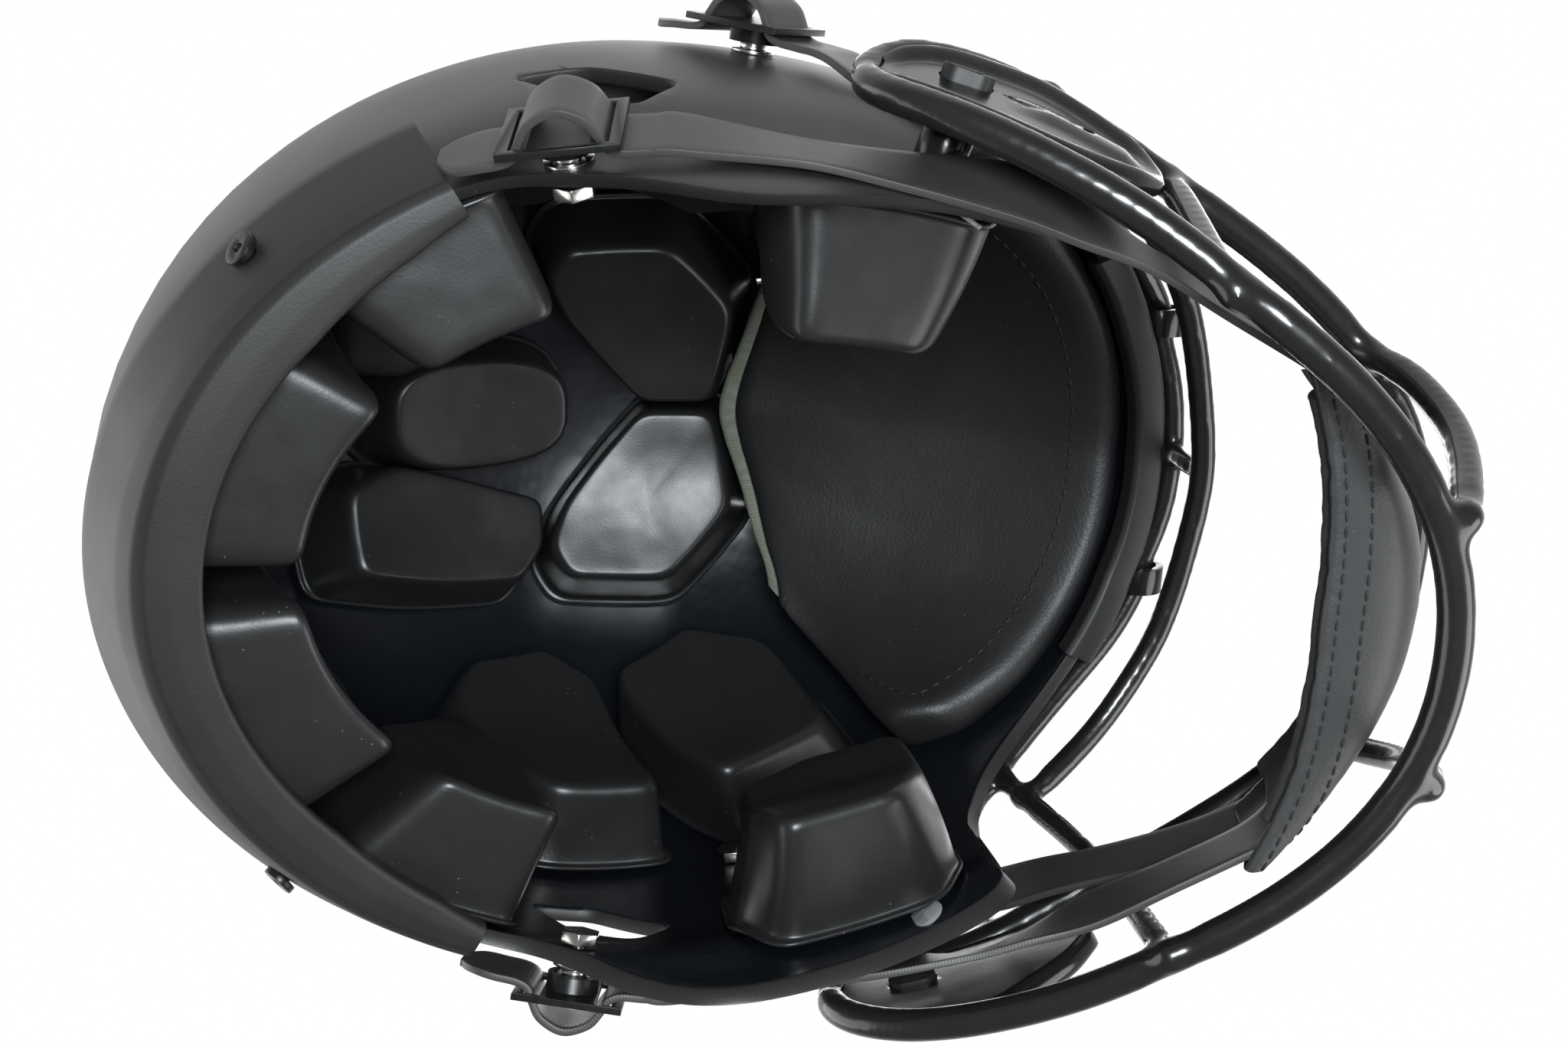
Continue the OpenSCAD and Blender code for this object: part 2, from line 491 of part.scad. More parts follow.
// Moulded pads on the lower walls, where an outline is [millimetres round, millimetres up]
round_rate = 2;
module wall_pad(az, z, outline, thick, draft = 0.92, lean = 0) {
    seat = shell_t + pad_gap;
    top = seat + thick;
    steps = [[0.6, seat], [1, seat], [1, seat + 1.3], [0.95, seat + 1.7], [draft + 0.02, top - 4],
        [draft - 0.02, top - 1.2], [draft - 0.12, top]];
    turned = [for (i = [len(outline) - 1:-1:0]) outline[i]];
    capped_skin([for (s = steps) let (turn = az + lean * (s[1] - seat) / thick)
            [for (p = turned) wall_pt(turn + s[0] * p[0] / round_rate, z + s[0] * p[1], s[1])]],
        wall_pt(az, z, seat), wall_pt(az + lean, z, top + 0.6));
}
neck_outline = rounded([[-28, -37], [27, -37], [32, 16], [0, 54], [-16, 48], [-29, 24]], 7);
rear_outline = rounded([[-32, -38], [31, -38], [31, 24], [-2, 48], [-32, 24]], 7);
jaw_outline = rounded([[-22, -32], [30, -36], [40, -18], [36, 24], [6, 38], [-27, 32], [-29, -16]], 7);
side_outline = rounded([[-44, -36], [0, -38], [14, -28], [38, 14], [36, 28], [0, 38], [-27, 28]], 7);
temple_outline = rounded([[-34, -20], [12, -37], [22, -22], [45, 26], [0, 38], [-32, 28]], 7);
crown_side_outline = rounded([[40, -20], [33, 3], [-20, 44], [-36, 29], [-39, 9], [12, -41]], 6);
crown_front_outline = rounded([[50, 4], [33, 17], [-18, 36], [-46, 19], [-28, -20], [10, -34], [50, -13]], 6);
module pad_color() { color("#151516") worn() children(); }
module jaw_pads() { pad_color() pair() wall_pad(63, 80, jaw_outline, rear_pad_t, 0.93, -7); }
module neck_pads() { pad_color() pair() wall_pad(128, 100.5, neck_outline, rear_pad_t); }
module rear_pads() { pad_color() pair() wall_pad(163, 101.5, rear_outline, rear_pad_t); }
module side_pads() { pad_color() pair() wall_pad(106, 168, side_outline, side_pad_t); }
module temple_pads() { pad_color() pair() wall_pad(68.5, 172, temple_outline, side_pad_t); }
module crown_pad() { pad_color() pad(180, 67, oblong(44, 76, 3), crown_pad_t); }
module crown_side_pads() { pad_color() pair() pad(144, 50, crown_side_outline, crown_pad_t); }
module crown_front_pads() { pad_color() pair() pad(60, 67, crown_front_outline, crown_pad_t); }
module jaw_pad_snaps() {
    color("#d8dadc") worn() pair() for (q = [[56, 46], [74, 62], [64, 104]])
        screw_place(q[0], q[1], shell_t + 0.1) mirror([0, 0, 1]) cylinder(d = 9, h = 1.1, $fn = 16);
}

// Front pad: thin at the brow, thick where it meets the crown pads, with a woven edging
panel_room = 5.4;
front_columns = [47, 44, 38, 30, 20, 10, 0, -10, -20, -30, -38, -44, -47];
function front_low(az) = lookup(abs(az), [[0, 5.4], [20, 3.4], [30, 1.5], [40, 1], [47, 5]]);
function front_top(az) = lookup(abs(az), [[0, 61], [10, 59], [20, 54.5], [30, 49], [38, 44], [44, 38], [47, 30]]);
function front_low_t(az) = lookup(abs(az), [[0, 6], [20, 7], [35, 12], [44, 17], [47, 13]]);
function along(az, el, off) = let (d = heading(az, el)) form_pt(d, 0) - off * d;
function front_ring(az, low_t, top_t) =
    let (lo = front_low(az), hi = front_top(az), a = shell_t + pad_gap)
    let (p = along(az, lo, a + low_t), q = along(az, hi, a + top_t), out = heading(az, (lo + hi) / 2))
    concat([for (k = [0:6]) let (el = lo + (hi - lo) * k / 6) along(az, el, a + panel_room * lookup(el, [[18, 0], [28, 1]]))],
        [along(az, hi + 1.5, a + top_t * 0.5)],
        [for (k = [6:-1:0]) p + (q - p) * k / 6 + 6 * sin(180 * k / 6) * out]);
module front_pad() {
    rings = [for (az = front_columns) front_ring(az, front_low_t(az), 28 - abs(az) / 12)];
    color("#1d1d1f") worn() capped_skin(rings, middle(rings[0]), middle(rings[len(rings) - 1]));
}
module front_pad_trim() {
    color("#6f7366") worn() skin([for (az = front_columns) if (abs(az) < 46)
        let (hi = front_top(az), a = shell_t + pad_gap + 28 - abs(az) / 12)
        [along(az, hi + 1.9, a - 12), along(az, hi + 2.7, a - 12), along(az, hi + 2.2, a + 1.2),
            along(az, hi - 1, a + 2.4), along(az, hi - 1, a + 1.5), along(az, hi + 1.2, a + 0.3)]]);
}

shell();
flex_panel();
rear_bumper();
rear_bumper_screws();
front_bumper();
front_bumper_screws();
brow_clips();
brow_clip_screws();
chin_bar();
mouth_bar();
upper_brow_bar();
lower_brow_bar();
brow_strut();
chin_uprights();
side_uprights();
temple_bars();
side_clip_left();
side_clip_right();
side_clip_bosses();
release_button_left();
release_button_right();
snap_studs();
stud_nuts();
chin_cup();
chin_cup_liner();
lower_straps();
upper_straps();
lower_buckles();
upper_buckles();
jaw_pads();
jaw_pad_snaps();
front_pad();
front_pad_trim();
crown_pad();
crown_side_pads();
crown_front_pads();
side_pads();
temple_pads();
neck_pads();
rear_pads();
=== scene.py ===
import json
import math

import bpy
import numpy as np
from mathutils import Matrix, Vector

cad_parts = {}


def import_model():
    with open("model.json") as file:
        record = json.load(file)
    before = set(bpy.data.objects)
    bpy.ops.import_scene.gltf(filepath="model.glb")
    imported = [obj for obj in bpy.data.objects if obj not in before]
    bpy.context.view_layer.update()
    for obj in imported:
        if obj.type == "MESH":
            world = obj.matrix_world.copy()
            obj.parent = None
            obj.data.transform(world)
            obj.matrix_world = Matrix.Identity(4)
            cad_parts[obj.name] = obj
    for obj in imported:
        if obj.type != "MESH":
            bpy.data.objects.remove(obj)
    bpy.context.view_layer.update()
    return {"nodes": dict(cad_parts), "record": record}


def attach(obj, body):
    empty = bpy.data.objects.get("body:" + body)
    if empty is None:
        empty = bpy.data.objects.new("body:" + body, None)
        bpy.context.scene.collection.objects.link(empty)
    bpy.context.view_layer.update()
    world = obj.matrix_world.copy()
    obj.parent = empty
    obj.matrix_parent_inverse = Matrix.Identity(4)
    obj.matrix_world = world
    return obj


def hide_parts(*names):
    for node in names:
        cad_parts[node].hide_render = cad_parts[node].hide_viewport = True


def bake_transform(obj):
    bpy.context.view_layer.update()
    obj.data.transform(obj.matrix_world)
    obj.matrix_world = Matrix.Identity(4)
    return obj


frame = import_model()
nodes = frame["nodes"]
MM = 0.001


# Camera, where the photographer held it: under the open helmet, looking up into it
def aim_camera():
    right = Vector((-0.0262, -0.9988, 0.0419))
    up = Vector((-0.9582, 0.0371, 0.2838))
    back = -Vector((0.285, 0.0327, 0.958))
    place = Vector((-128.6, -24.1, -348.4)) * MM
    lens = bpy.data.cameras.new("photo_camera")
    lens.lens = 40.53
    lens.sensor_width = 36
    lens.clip_start = 0.01
    camera = bpy.data.objects.new("photo_camera", lens)
    turn = Matrix((right, up, back)).transposed().to_4x4()
    camera.matrix_world = Matrix.Translation(place) @ turn
    bpy.context.scene.collection.objects.link(camera)
    bpy.context.scene.camera = camera


aim_camera()
bpy.context.scene.view_settings.view_transform = "Standard"


# Shader values that take part in ordinary arithmetic
class Value:
    def __init__(self, graph, socket):
        self.graph = graph
        self.socket = socket

    def maths(self, operation, *others):
        inputs = dict(enumerate((self,) + others))
        return self.graph.node("ShaderNodeMath", {"operation": operation}, inputs)

    def __add__(self, other):
        return self.maths("ADD", other)

    def __mul__(self, other):
        return self.maths("MULTIPLY", other)

    __radd__ = __add__

    def most(self, other):
        return self.maths("MAXIMUM", other)

    def over(self, edge):
        return self.maths("GREATER_THAN", edge)

    def under(self, edge):
        return self.maths("LESS_THAN", edge)

    def between(self, low, high):
        ramp = {"interpolation_type": "SMOOTHSTEP"}
        return self.graph.node("ShaderNodeMapRange", ramp, {"Value": self, "From Min": low, "From Max": high})

    def wave(self, turns):
        return (self * (turns * 2 * math.pi)).maths("SINE")


# The nodes of a finish or of the world
class Graph:
    def __init__(self, tree):
        self.tree = tree

    def node(self, kind, settings=None, inputs=None, output=0):
        made = self.tree.nodes.new(kind)
        for name, setting in (settings or {}).items():
            setattr(made, name, setting)
        for name, given in (inputs or {}).items():
            socket = made.inputs[name]
            if isinstance(given, Value):
                self.tree.links.new(given.socket, socket)
            elif socket.type == "RGBA" and len(given) == 3:
                socket.default_value = (*given, 1)
            else:
                socket.default_value = given
        return Value(self, made.outputs[output])

    def part(self, vector, axis):
        return self.node("ShaderNodeSeparateXYZ", inputs={0: vector}, output=axis)

    def ray(self, kind):
        return self.node("ShaderNodeLightPath", output="Is " + kind + " Ray")


class Finish(Graph):
    def __init__(self, name):
        self.material = bpy.data.materials.new(name)
        self.material.use_nodes = True
        super().__init__(self.material.node_tree)
        self.tree.nodes.clear()

    def place(self):
        return self.node("ShaderNodeTexCoord", output="Object")

    def along(self):
        return self.node("ShaderNodeUVMap", {"uv_map": "along"}, output="UV")

    def noise(self, per_metre, detail, rough=0.5):
        inputs = {"Vector": self.place(), "Scale": per_metre, "Detail": detail, "Roughness": rough}
        return self.node("ShaderNodeTexNoise", inputs=inputs)

    def cells(self, per_metre):
        inputs = {"Vector": self.place(), "Scale": per_metre}
        return self.node("ShaderNodeTexVoronoi", inputs=inputs, output="Distance")

    def mix(self, share, first, second):
        return self.node("ShaderNodeMix", {"data_type": "RGBA"}, {0: share, 6: first, 7: second}, output=2)

    def bump(self, height, depth, under=None):
        inputs = {"Height": height, "Distance": depth, "Strength": 1.0}
        if under is not None:
            inputs["Normal"] = under
        return self.node("ShaderNodeBump", inputs=inputs)

    def surface(self, **sockets):
        named = {name.replace("_", " "): given for name, given in sockets.items()}
        self.finish_with(self.node("ShaderNodeBsdfPrincipled", inputs=named))
        return self.material

    def finish_with(self, shader):
        out = self.tree.nodes.new("ShaderNodeOutputMaterial")
        self.tree.links.new(shader.socket, out.inputs["Surface"])


def grey(tone, warm=0.0):
    return (tone * (1 + warm), tone, tone * (1 - warm))


# Satin shell: fine sprayed grain, faint cloudy changes of sheen, a few specks of dust
def satin_shell():
    made = Finish("satin_shell")
    cloud = made.noise(28, 4)
    grain = made.noise(2600, 2)
    dust = made.cells(420).under(0.10) * made.noise(60, 2).over(0.60)
    tone = made.mix(cloud, grey(0.014, 0.04), grey(0.020, 0.06))
    colour = made.mix(dust * 0.5, tone, grey(0.10))
    rough = 0.36 + cloud * 0.10 + grain * 0.05
    return made.surface(Base_Color=colour, Roughness=rough, Normal=made.bump(grain, 0.00004))


# Unsprayed inside of the shell: the glossy blue-black of the moulded plastic
def shell_lining():
    made = Finish("shell_lining")
    flow = made.noise(40, 3)
    scuff = made.noise(150, 5, 0.65)
    colour = made.mix(flow, (0.0045, 0.0058, 0.0085), (0.0075, 0.0090, 0.0125))
    rough = 0.22 + scuff * 0.06
    return made.surface(Base_Color=colour, Roughness=rough, Normal=made.bump(flow, 0.0008))


# Smooth vinyl skin of the pads: soft ripples left by the mould, and a little dust
def pad_vinyl():
    made = Finish("pad_vinyl")
    ripple = made.noise(34, 2)
    haze = made.noise(90, 4, 0.6)
    dust = made.cells(300).under(0.055) * made.noise(45, 2).over(0.56)
    colour = made.mix(dust * 0.7, grey(0.016, -0.02), grey(0.22))
    rough = 0.25 + haze * 0.16 + dust * 0.3
    fine = made.bump(made.noise(1500, 2), 0.00002)
    return made.surface(Base_Color=colour, Roughness=rough, Normal=made.bump(ripple, 0.0009, fine))


# A plain finish: worn unevenly between two tones and two degrees of gloss, and grained if asked
def rubbed(name, wear, tones, rough, grain=None, **more):
    made = Finish(name)
    worn = made.noise(*wear)
    if grain is not None:
        per_metre, depth = grain
        more["Normal"] = made.bump(made.noise(per_metre, 2), depth)
    colour = made.mix(worn, *tones)
    return made.surface(Base_Color=colour, Roughness=rough[0] + worn * rough[1], **more)


def bumper_rubber():
    made = Finish("bumper_rubber")
    cloud = made.noise(60, 4)
    grain = made.cells(1500)
    colour = made.mix(cloud, grey(0.010), grey(0.016, 0.05))
    rough = 0.44 + cloud * 0.14
    return made.surface(Base_Color=colour, Roughness=rough, Normal=made.bump(grain, 0.00002))


# Smooth strap with very fine ribs across it, and a painted highlight along both edges where they catch the
# light
def strap_skin():
    made = Finish("strap_skin")
    place = made.along()
    ribs = made.part(place, 1).wave(1250)
    # Painted highlight: a band along each edge of the strap is mixed towards a paler grey, as if lit
    edge = made.part(place, 0).maths("ABSOLUTE").between(0.0082, 0.0099)
    haze = made.noise(80, 4)
    plain = made.mix(haze, grey(0.028, 0.03), grey(0.042, 0.05))
    colour = made.mix(edge * 0.5, plain, grey(0.055, 0.04))
    rough = 0.36 + haze * 0.16
    return made.surface(Base_Color=colour, Roughness=rough, Normal=made.bump(ribs, 0.000008))


# Leather-like cover with a pebbled grain
def grained_cover(name, dark, pale):
    made = Finish(name)
    pebble = made.cells(1100)
    cloud = made.noise(26, 3)
    dust = made.cells(260).under(0.05) * made.noise(45, 2).over(0.54)
    colour = made.mix(dust * 0.5, made.mix(cloud, grey(dark, -0.03), grey(pale, -0.02)), grey(0.16))
    rough = 0.40 + cloud * 0.12
    soft = made.bump(made.noise(50, 2), 0.0003)
    return made.surface(Base_Color=colour, Roughness=rough, Normal=made.bump(pebble, 0.00005, soft))


# Grey-green woven edging
def woven_edging():
    made = Finish("woven_edging")
    place = made.place()
    weave = made.part(place, 0).wave(1300) * made.part(place, 2).wave(1300)
    colour = made.mix(made.noise(120, 4), (0.150, 0.165, 0.128), (0.235, 0.248, 0.200))
    return made.surface(Base_Color=colour, Roughness=0.82, Normal=made.bump(weave, 0.00012))


def clear_snap():
    made = Finish("clear_snap")
    flow = made.noise(300, 2)
    normal = made.bump(flow, 0.0004)
    tone = made.mix(flow, (0.86, 0.87, 0.88), (0.80, 0.82, 0.84))
    return made.surface(Base_Color=tone, Roughness=0.12, IOR=1.46, Transmission_Weight=0.75, Normal=normal)


# For each: noise of the wear, two tones, least roughness and its spread, and grain
STEEL = (500, 4), (grey(0.015), grey(0.035)), (0.24, 0.16)
NICKEL = (400, 4), ((0.76, 0.75, 0.73), (0.66, 0.65, 0.63)), (0.12, 0.14)
DIPPED = (70, 5, 0.65), (grey(0.007), grey(0.013, 0.05)), (0.22, 0.10), (160, 0.0001)
MOULDED = (110, 4), (grey(0.006), grey(0.010)), (0.12, 0.12), (900, 0.00002)
FINISHES = {
    "shell_matte": satin_shell(),
    "bumper_rubber": bumper_rubber(),
    "screw_black": rubbed("screw_steel", *STEEL, Metallic=0.6),
    "clip_plastic": rubbed("gloss_moulding", *MOULDED),
    "wire_coated": rubbed("dipped_wire", *DIPPED, Coat_Weight=0.35),
    "stud_steel": rubbed("bright_nickel", *NICKEL, Metallic=1.0),
    "cup_leather": grained_cover("cup_cover", 0.032, 0.046),
    "liner_fabric": rubbed("soft_liner", (2200, 2), (grey(0.018), grey(0.040)), (0.9, 0), (2200, 0.0002)),
    "webbing": strap_skin(),
    "buckle_black": rubbed("buckle_steel", *STEEL, Metallic=0.6),
    "pad_vinyl": pad_vinyl(),
    "snap_clear": clear_snap(),
    "front_pad_leather": grained_cover("brow_cover", 0.012, 0.019),
    "edging_woven": woven_edging(),
}
THREAD = rubbed("stitch_thread", (1800, 2), (grey(0.006), grey(0.016)), (0.6, 0), (1800, 0.0001))
SHELL_LINING = shell_lining()
BUTTON_SATIN = rubbed("satin_button", (300, 4), (grey(0.008), grey(0.014)), (0.42, 0.14))
SLOT_OF = {part["node"]: part["material_slot"] for part in frame["record"]["subparts"]}
BODIES = frame["record"]["behaviour"]["bodies"]
BODY_OF = {member: body for body, members in BODIES.items() for member in members}


# Small steps that every piece goes through
def only(piece):
    bpy.ops.object.select_all(action="DESELECT")
    piece.select_set(True)
    bpy.context.view_layer.objects.active = piece


def modify(piece, kind, **settings):
    only(piece)
    modifier = piece.modifiers.new(kind.lower(), kind)
    for name, setting in settings.items():
        setattr(modifier, name, setting)
    bpy.ops.object.modifier_apply(modifier=modifier.name)


def bevel(piece, edge_mm, degrees, segments=2):
    limits = {"limit_method": "ANGLE", "angle_limit": math.radians(degrees)}
    modify(piece, "BEVEL", width=edge_mm * MM, segments=segments, **limits)


def edit(piece, step):
    only(piece)
    bpy.ops.object.mode_set(mode="EDIT")
    bpy.ops.mesh.select_all(action="SELECT")
    step()
    bpy.ops.object.mode_set(mode="OBJECT")


def shade(piece, angle):
    only(piece)
    bpy.ops.object.shade_smooth_by_angle(angle=math.radians(angle))


def outwards():
    bpy.ops.mesh.normals_make_consistent(inside=False)


def stand_for(piece, *replaced, angle=None, ride=True):
    if angle is not None:
        shade(piece, angle)
    if ride:
        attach(piece, BODY_OF[replaced[0]])
    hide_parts(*replaced)
    slot_name = SLOT_OF[replaced[0]]
    piece.data.materials.clear()
    piece.data.materials.append(FINISHES[slot_name])


def remove(piece):
    bpy.data.objects.remove(piece, do_unlink=True)


def cut_by(piece, cutter):
    modify(piece, "BOOLEAN", object=cutter, operation="DIFFERENCE", solver="EXACT")
    remove(cutter)


def placed(name, data):
    made = bpy.data.objects.new(name, data)
    bpy.context.scene.collection.objects.link(made)
    return made


def primitive(add, name, **settings):
    bpy.ops.object.select_all(action="DESELECT")
    add(**settings)
    piece = bpy.context.object
    piece.name = name
    piece.data.name = name
    return piece


# A working copy of a CAD node, with its triangles joined into faces again
def copy_of(node, name):
    piece = placed(name, nodes[node].data.copy())
    piece.data.name = name
    only(piece)
    bpy.ops.mesh.customdata_custom_splitnormals_clear()
    edit(piece, lambda: bpy.ops.mesh.remove_doubles(threshold=0.000005))
    return piece


def to_quads():
    bpy.ops.mesh.tris_convert_to_quads(face_threshold=math.radians(60), shape_threshold=math.radians(70))


# Crisp copies: flat faces kept, edges broken by a small round
def crisp_copy(node, edge_mm, segments=2):
    piece = copy_of(node, node + "_finished")
    edit(piece, lambda: bpy.ops.mesh.dissolve_limited(angle_limit=math.radians(1.5)))
    bevel(piece, edge_mm, 35, segments)
    stand_for(piece, node, angle=40)
    return piece


for node in nodes:
    nodes[node].data.materials.clear()
    nodes[node].data.materials.append(FINISHES[SLOT_OF[node]])


# The head form that all is built on, in millimetres as worn: z is the height, and 0 degrees is the face
SHELL_T = 4
SEAT = 5.4
HALF_WIDE, FRONT_REACH, BACK_REACH = 117, 158, 138
FRONT_POWER, BACK_POWER, DOME_POWER = 2.1, 1.97, 2.15
EAR_Y, WIDE_Z, DOME = -14, 150, 115
TAPER_Z = 125
WAIST_Z, WAIST, WAIST_SPREAD = 58, 4.6, 16
TIP = math.radians(15.5)
SEAT_Y, SEAT_Z = 7.97, -25.55


def half_sizes(z, off, back):
    below = np.maximum(0, (WIDE_Z - z) / TAPER_Z)
    rise = np.clip((z - WIDE_Z) / (DOME - off), 0, 1)
    dome = (1 - rise ** DOME_POWER) ** (1 / DOME_POWER)
    waist = WAIST * np.exp(-((z - WAIST_Z) / WAIST_SPREAD) ** 2)
    wide = (HALF_WIDE - off) * dome - 26 * below ** 1.8 - waist
    to_front = (FRONT_REACH - off) * dome - 16 * below ** 1.6
    to_back = (BACK_REACH - off) * dome - 50 * below ** 3
    return wide, np.where(back, to_back, to_front)


def plan_power(back):
    return np.where(back, BACK_POWER, FRONT_POWER)


def wall_points(degrees, z, off):
    turn = np.radians(degrees)
    back = np.cos(turn) < 0
    wide, reach = half_sizes(z, off, back)
    power = plan_power(back)
    far = (np.abs(np.sin(turn) / wide) ** power + np.abs(np.cos(turn) / reach) ** power) ** (-1 / power)
    return np.stack(np.broadcast_arrays(far * np.sin(turn), EAR_Y - far * np.cos(turn), z), -1)


def heading(degrees, rise):
    a, e = np.radians(degrees), np.radians(rise)
    return np.stack(np.broadcast_arrays(np.cos(e) * np.sin(a), -np.cos(e) * np.cos(a), np.sin(e)), -1)


# Above the widest height the reach is exact, and below it a few rounds come close enough
def form_reach(way, off):
    x, y, z = way[..., 0], way[..., 1], way[..., 2]
    back = y > 0
    power = plan_power(back)
    length = np.where(back, BACK_REACH, FRONT_REACH) - off
    plan = np.abs(x / (HALF_WIDE - off)) ** power + np.abs(y / length) ** power
    high = (plan ** (DOME_POWER / power) + np.abs(z / (DOME - off)) ** DOME_POWER) ** (-1 / DOME_POWER)
    low = np.full(z.shape, 110.0)
    for _ in range(7):
        wide, reach = half_sizes(WIDE_Z + low * np.minimum(z, 0), off, back)
        plan_low = np.abs(x / wide) ** power + np.abs(y / reach) ** power
        low = np.maximum(plan_low, 0.000001) ** (-1 / power)
    return np.where(z >= 0, high, low)


def form_points(way, off):
    return np.array((0, EAR_Y, WIDE_Z)) + form_reach(way, off)[..., None] * way


def unit(way):
    return way / np.linalg.norm(way, axis=-1, keepdims=True)


def patch_points(degrees, rise, across, upward, off):
    middle = heading(degrees, rise)
    side = np.array((math.cos(math.radians(degrees)), math.sin(math.radians(degrees)), 0))
    up = np.cross(middle, side)
    start = form_reach(middle, 0) * middle
    way = unit(start + across[..., None] * side + upward[..., None] * up)
    return form_points(way, off)


def to_table(worn):
    x, y, z = worn[..., 0], worn[..., 1], worn[..., 2]
    return np.stack((x, y * math.cos(TIP) + z * math.sin(TIP) + SEAT_Y,
        z * math.cos(TIP) - y * math.sin(TIP) + SEAT_Z), -1)


# How far along a path its points lie, and a table of points read at other distances
def distances(path):
    return np.concatenate(((0,), np.cumsum(np.linalg.norm(np.diff(path, axis=0), axis=1))))


def read_at(steps, far, table):
    return np.stack([np.interp(steps, far, column) for column in table.T], -1)


# Outlines: each corner becomes an arc, and the whole is then spaced evenly
def soften(corners, radius, per):
    corners = np.array(corners, float)
    before = unit(np.roll(corners, 1, 0) - corners)
    after = unit(np.roll(corners, -1, 0) - corners)
    t = np.linspace(0, 1, per + 1)[None, :, None]
    rows = (corners + before * radius, corners, corners + after * radius)
    start, corner, end = (row[:, None, :] for row in rows)
    arcs = (1 - t) ** 2 * start + 2 * t * (1 - t) * corner + t ** 2 * end
    return arcs.reshape(-1, corners.shape[1])


def evenly(outline, count):
    closed = np.vstack((outline, outline[:1]))
    far = distances(closed)
    return read_at(np.linspace(0, far[-1], count, endpoint=False), far, closed)


def oblong(width, height, power=2.6, count=72):
    turn = np.linspace(0, 2 * np.pi, count * 4, endpoint=False)
    c, s = np.cos(turn), np.sin(turn)
    x = width / 2 * np.sign(c) * np.abs(c) ** (2 / power)
    y = height / 2 * np.sign(s) * np.abs(s) ** (2 / power)
    return evenly(np.stack((x, y), -1), count)


# A curve through all the points, with some more between each two
def smooth_path(points, per):
    points = np.array(points, float)
    padded = np.vstack((points[:1], points, points[-1:]))
    made = []
    for a, b, c, d in zip(padded, padded[1:], padded[2:], padded[3:]):
        for t in np.arange(per) / per:
            made.append(0.5 * (2 * b + (c - a) * t + (2 * a - 5 * b + 4 * c - d) * t ** 2
                + (3 * b - a - 3 * c + d) * t ** 3))
    return np.array(made + [points[-1]])


def set_points(piece, points_mm):
    piece.data.vertices.foreach_set("co", (np.asarray(points_mm) * MM).ravel())
    piece.data.update()


def get_points(piece):
    points = np.empty(len(piece.data.vertices) * 3)
    piece.data.vertices.foreach_get("co", points)
    return points.reshape(-1, 3) / MM


# A ball pressed to a skin over rings of points, with a point at each end
def pressed(name, rings, first=None, last=None):
    rings = np.asarray(rings, float)
    count, around = rings.shape[:2]
    add = bpy.ops.mesh.primitive_uv_sphere_add
    piece = primitive(add, name, segments=around, ring_count=count + 1, radius=1)
    ball = get_points(piece) * MM
    ring = np.rint(np.arccos(np.clip(ball[:, 2], -1, 1)) * (count + 1) / np.pi).astype(int)
    step = np.rint(np.arctan2(ball[:, 1], ball[:, 0]) * around / (2 * np.pi)).astype(int) % around
    place = rings[np.clip(ring - 1, 0, count - 1), step]
    place[ring == 0] = rings[0].mean(0) if first is None else first
    place[ring == count + 1] = rings[-1].mean(0) if last is None else last
    set_points(piece, place)
    edit(piece, outwards)
    return piece


def shrink_ends(rings, share):
    for end in (0, -1):
        middle = rings[end].mean(0)
        rings[end] = middle + (rings[end] - middle) * share


# A flat block raised from an outline: each step is a scale of the outline and a height
def raised(name, outline, steps):
    add = bpy.ops.mesh.primitive_circle_add
    piece = primitive(add, name, vertices=len(outline), radius=1, fill_type="NGON")
    scale, height = steps[0]
    rim = np.zeros((len(outline), 3))
    rim[:, :2] = outline * scale
    rim[:, 2] = height
    set_points(piece, rim)

    def raise_steps():
        was, level = steps[0]
        for now, height in steps[1:]:
            lift = {"value": (0, 0, (height - level) * MM)}
            bpy.ops.mesh.extrude_region_move(TRANSFORM_OT_translate=lift)
            bpy.ops.transform.resize(value=(now / was, now / was, 1), center_override=(0, 0, 0))
            was, level = now, height

    edit(piece, raise_steps)
    edit(piece, outwards)
    return piece


# Shell: one skin, up the outside from the rounded rim to the crown and down the inside.
# Each row of the rim: the column's turn at the crown, its turn at the rim, and the rim's height.
RIM = np.array([(0, 0, 156), (14, 14, 154.5), (28, 28, 147), (36, 36, 138), (40.5, 41.5, 126),
    (42.5, 45.5, 108), (44, 47, 88), (45.5, 46.5, 66), (47.5, 44.5, 51), (50.5, 46.5, 43), (56, 54, 37.5),
    (68, 68, 30), (84, 84, 25), (92, 92, 28), (99.5, 99.5, 37), (107, 107, 50), (114, 114, 59),
    (130, 130, 61.5), (155, 155, 61.5), (180, 180, 61.5)])


def rim_columns(per):
    """Half of the rim, its corners eased, then its mirror: crown turn, rim turn and height of each column"""
    count = (len(RIM) - 1) * per
    places = np.linspace(0, len(RIM) - 1, count + 1)
    top, turn, height = (np.interp(places, range(len(RIM)), column) for column in RIM.T)
    ease = np.array((1, 2, 3, 4, 3, 2, 1)) / 16
    for values, kind in ((top, "odd"), (turn, "odd"), (height, "even")):
        values[:] = np.convolve(np.pad(values, 3, mode="reflect", reflect_type=kind), ease, "valid")
    whole = np.stack((top, turn, height), -1)
    mirror = whole[-2:0:-1] * (-1, -1, 1)
    return np.vstack((whole, mirror))


def shell_points(columns, v, off):
    rim = wall_points(columns[:, 1], columns[:, 2], 0) - (0, EAR_Y, WIDE_Z)
    rise = np.degrees(np.arctan2(rim[:, 2], np.linalg.norm(rim[:, :2], axis=1)))
    turn = columns[:, 0] + (columns[:, 1] - columns[:, 0]) * (1 - v) ** 3
    return form_points(heading(turn, rise + (90 - rise) * v ** 1.2), off)


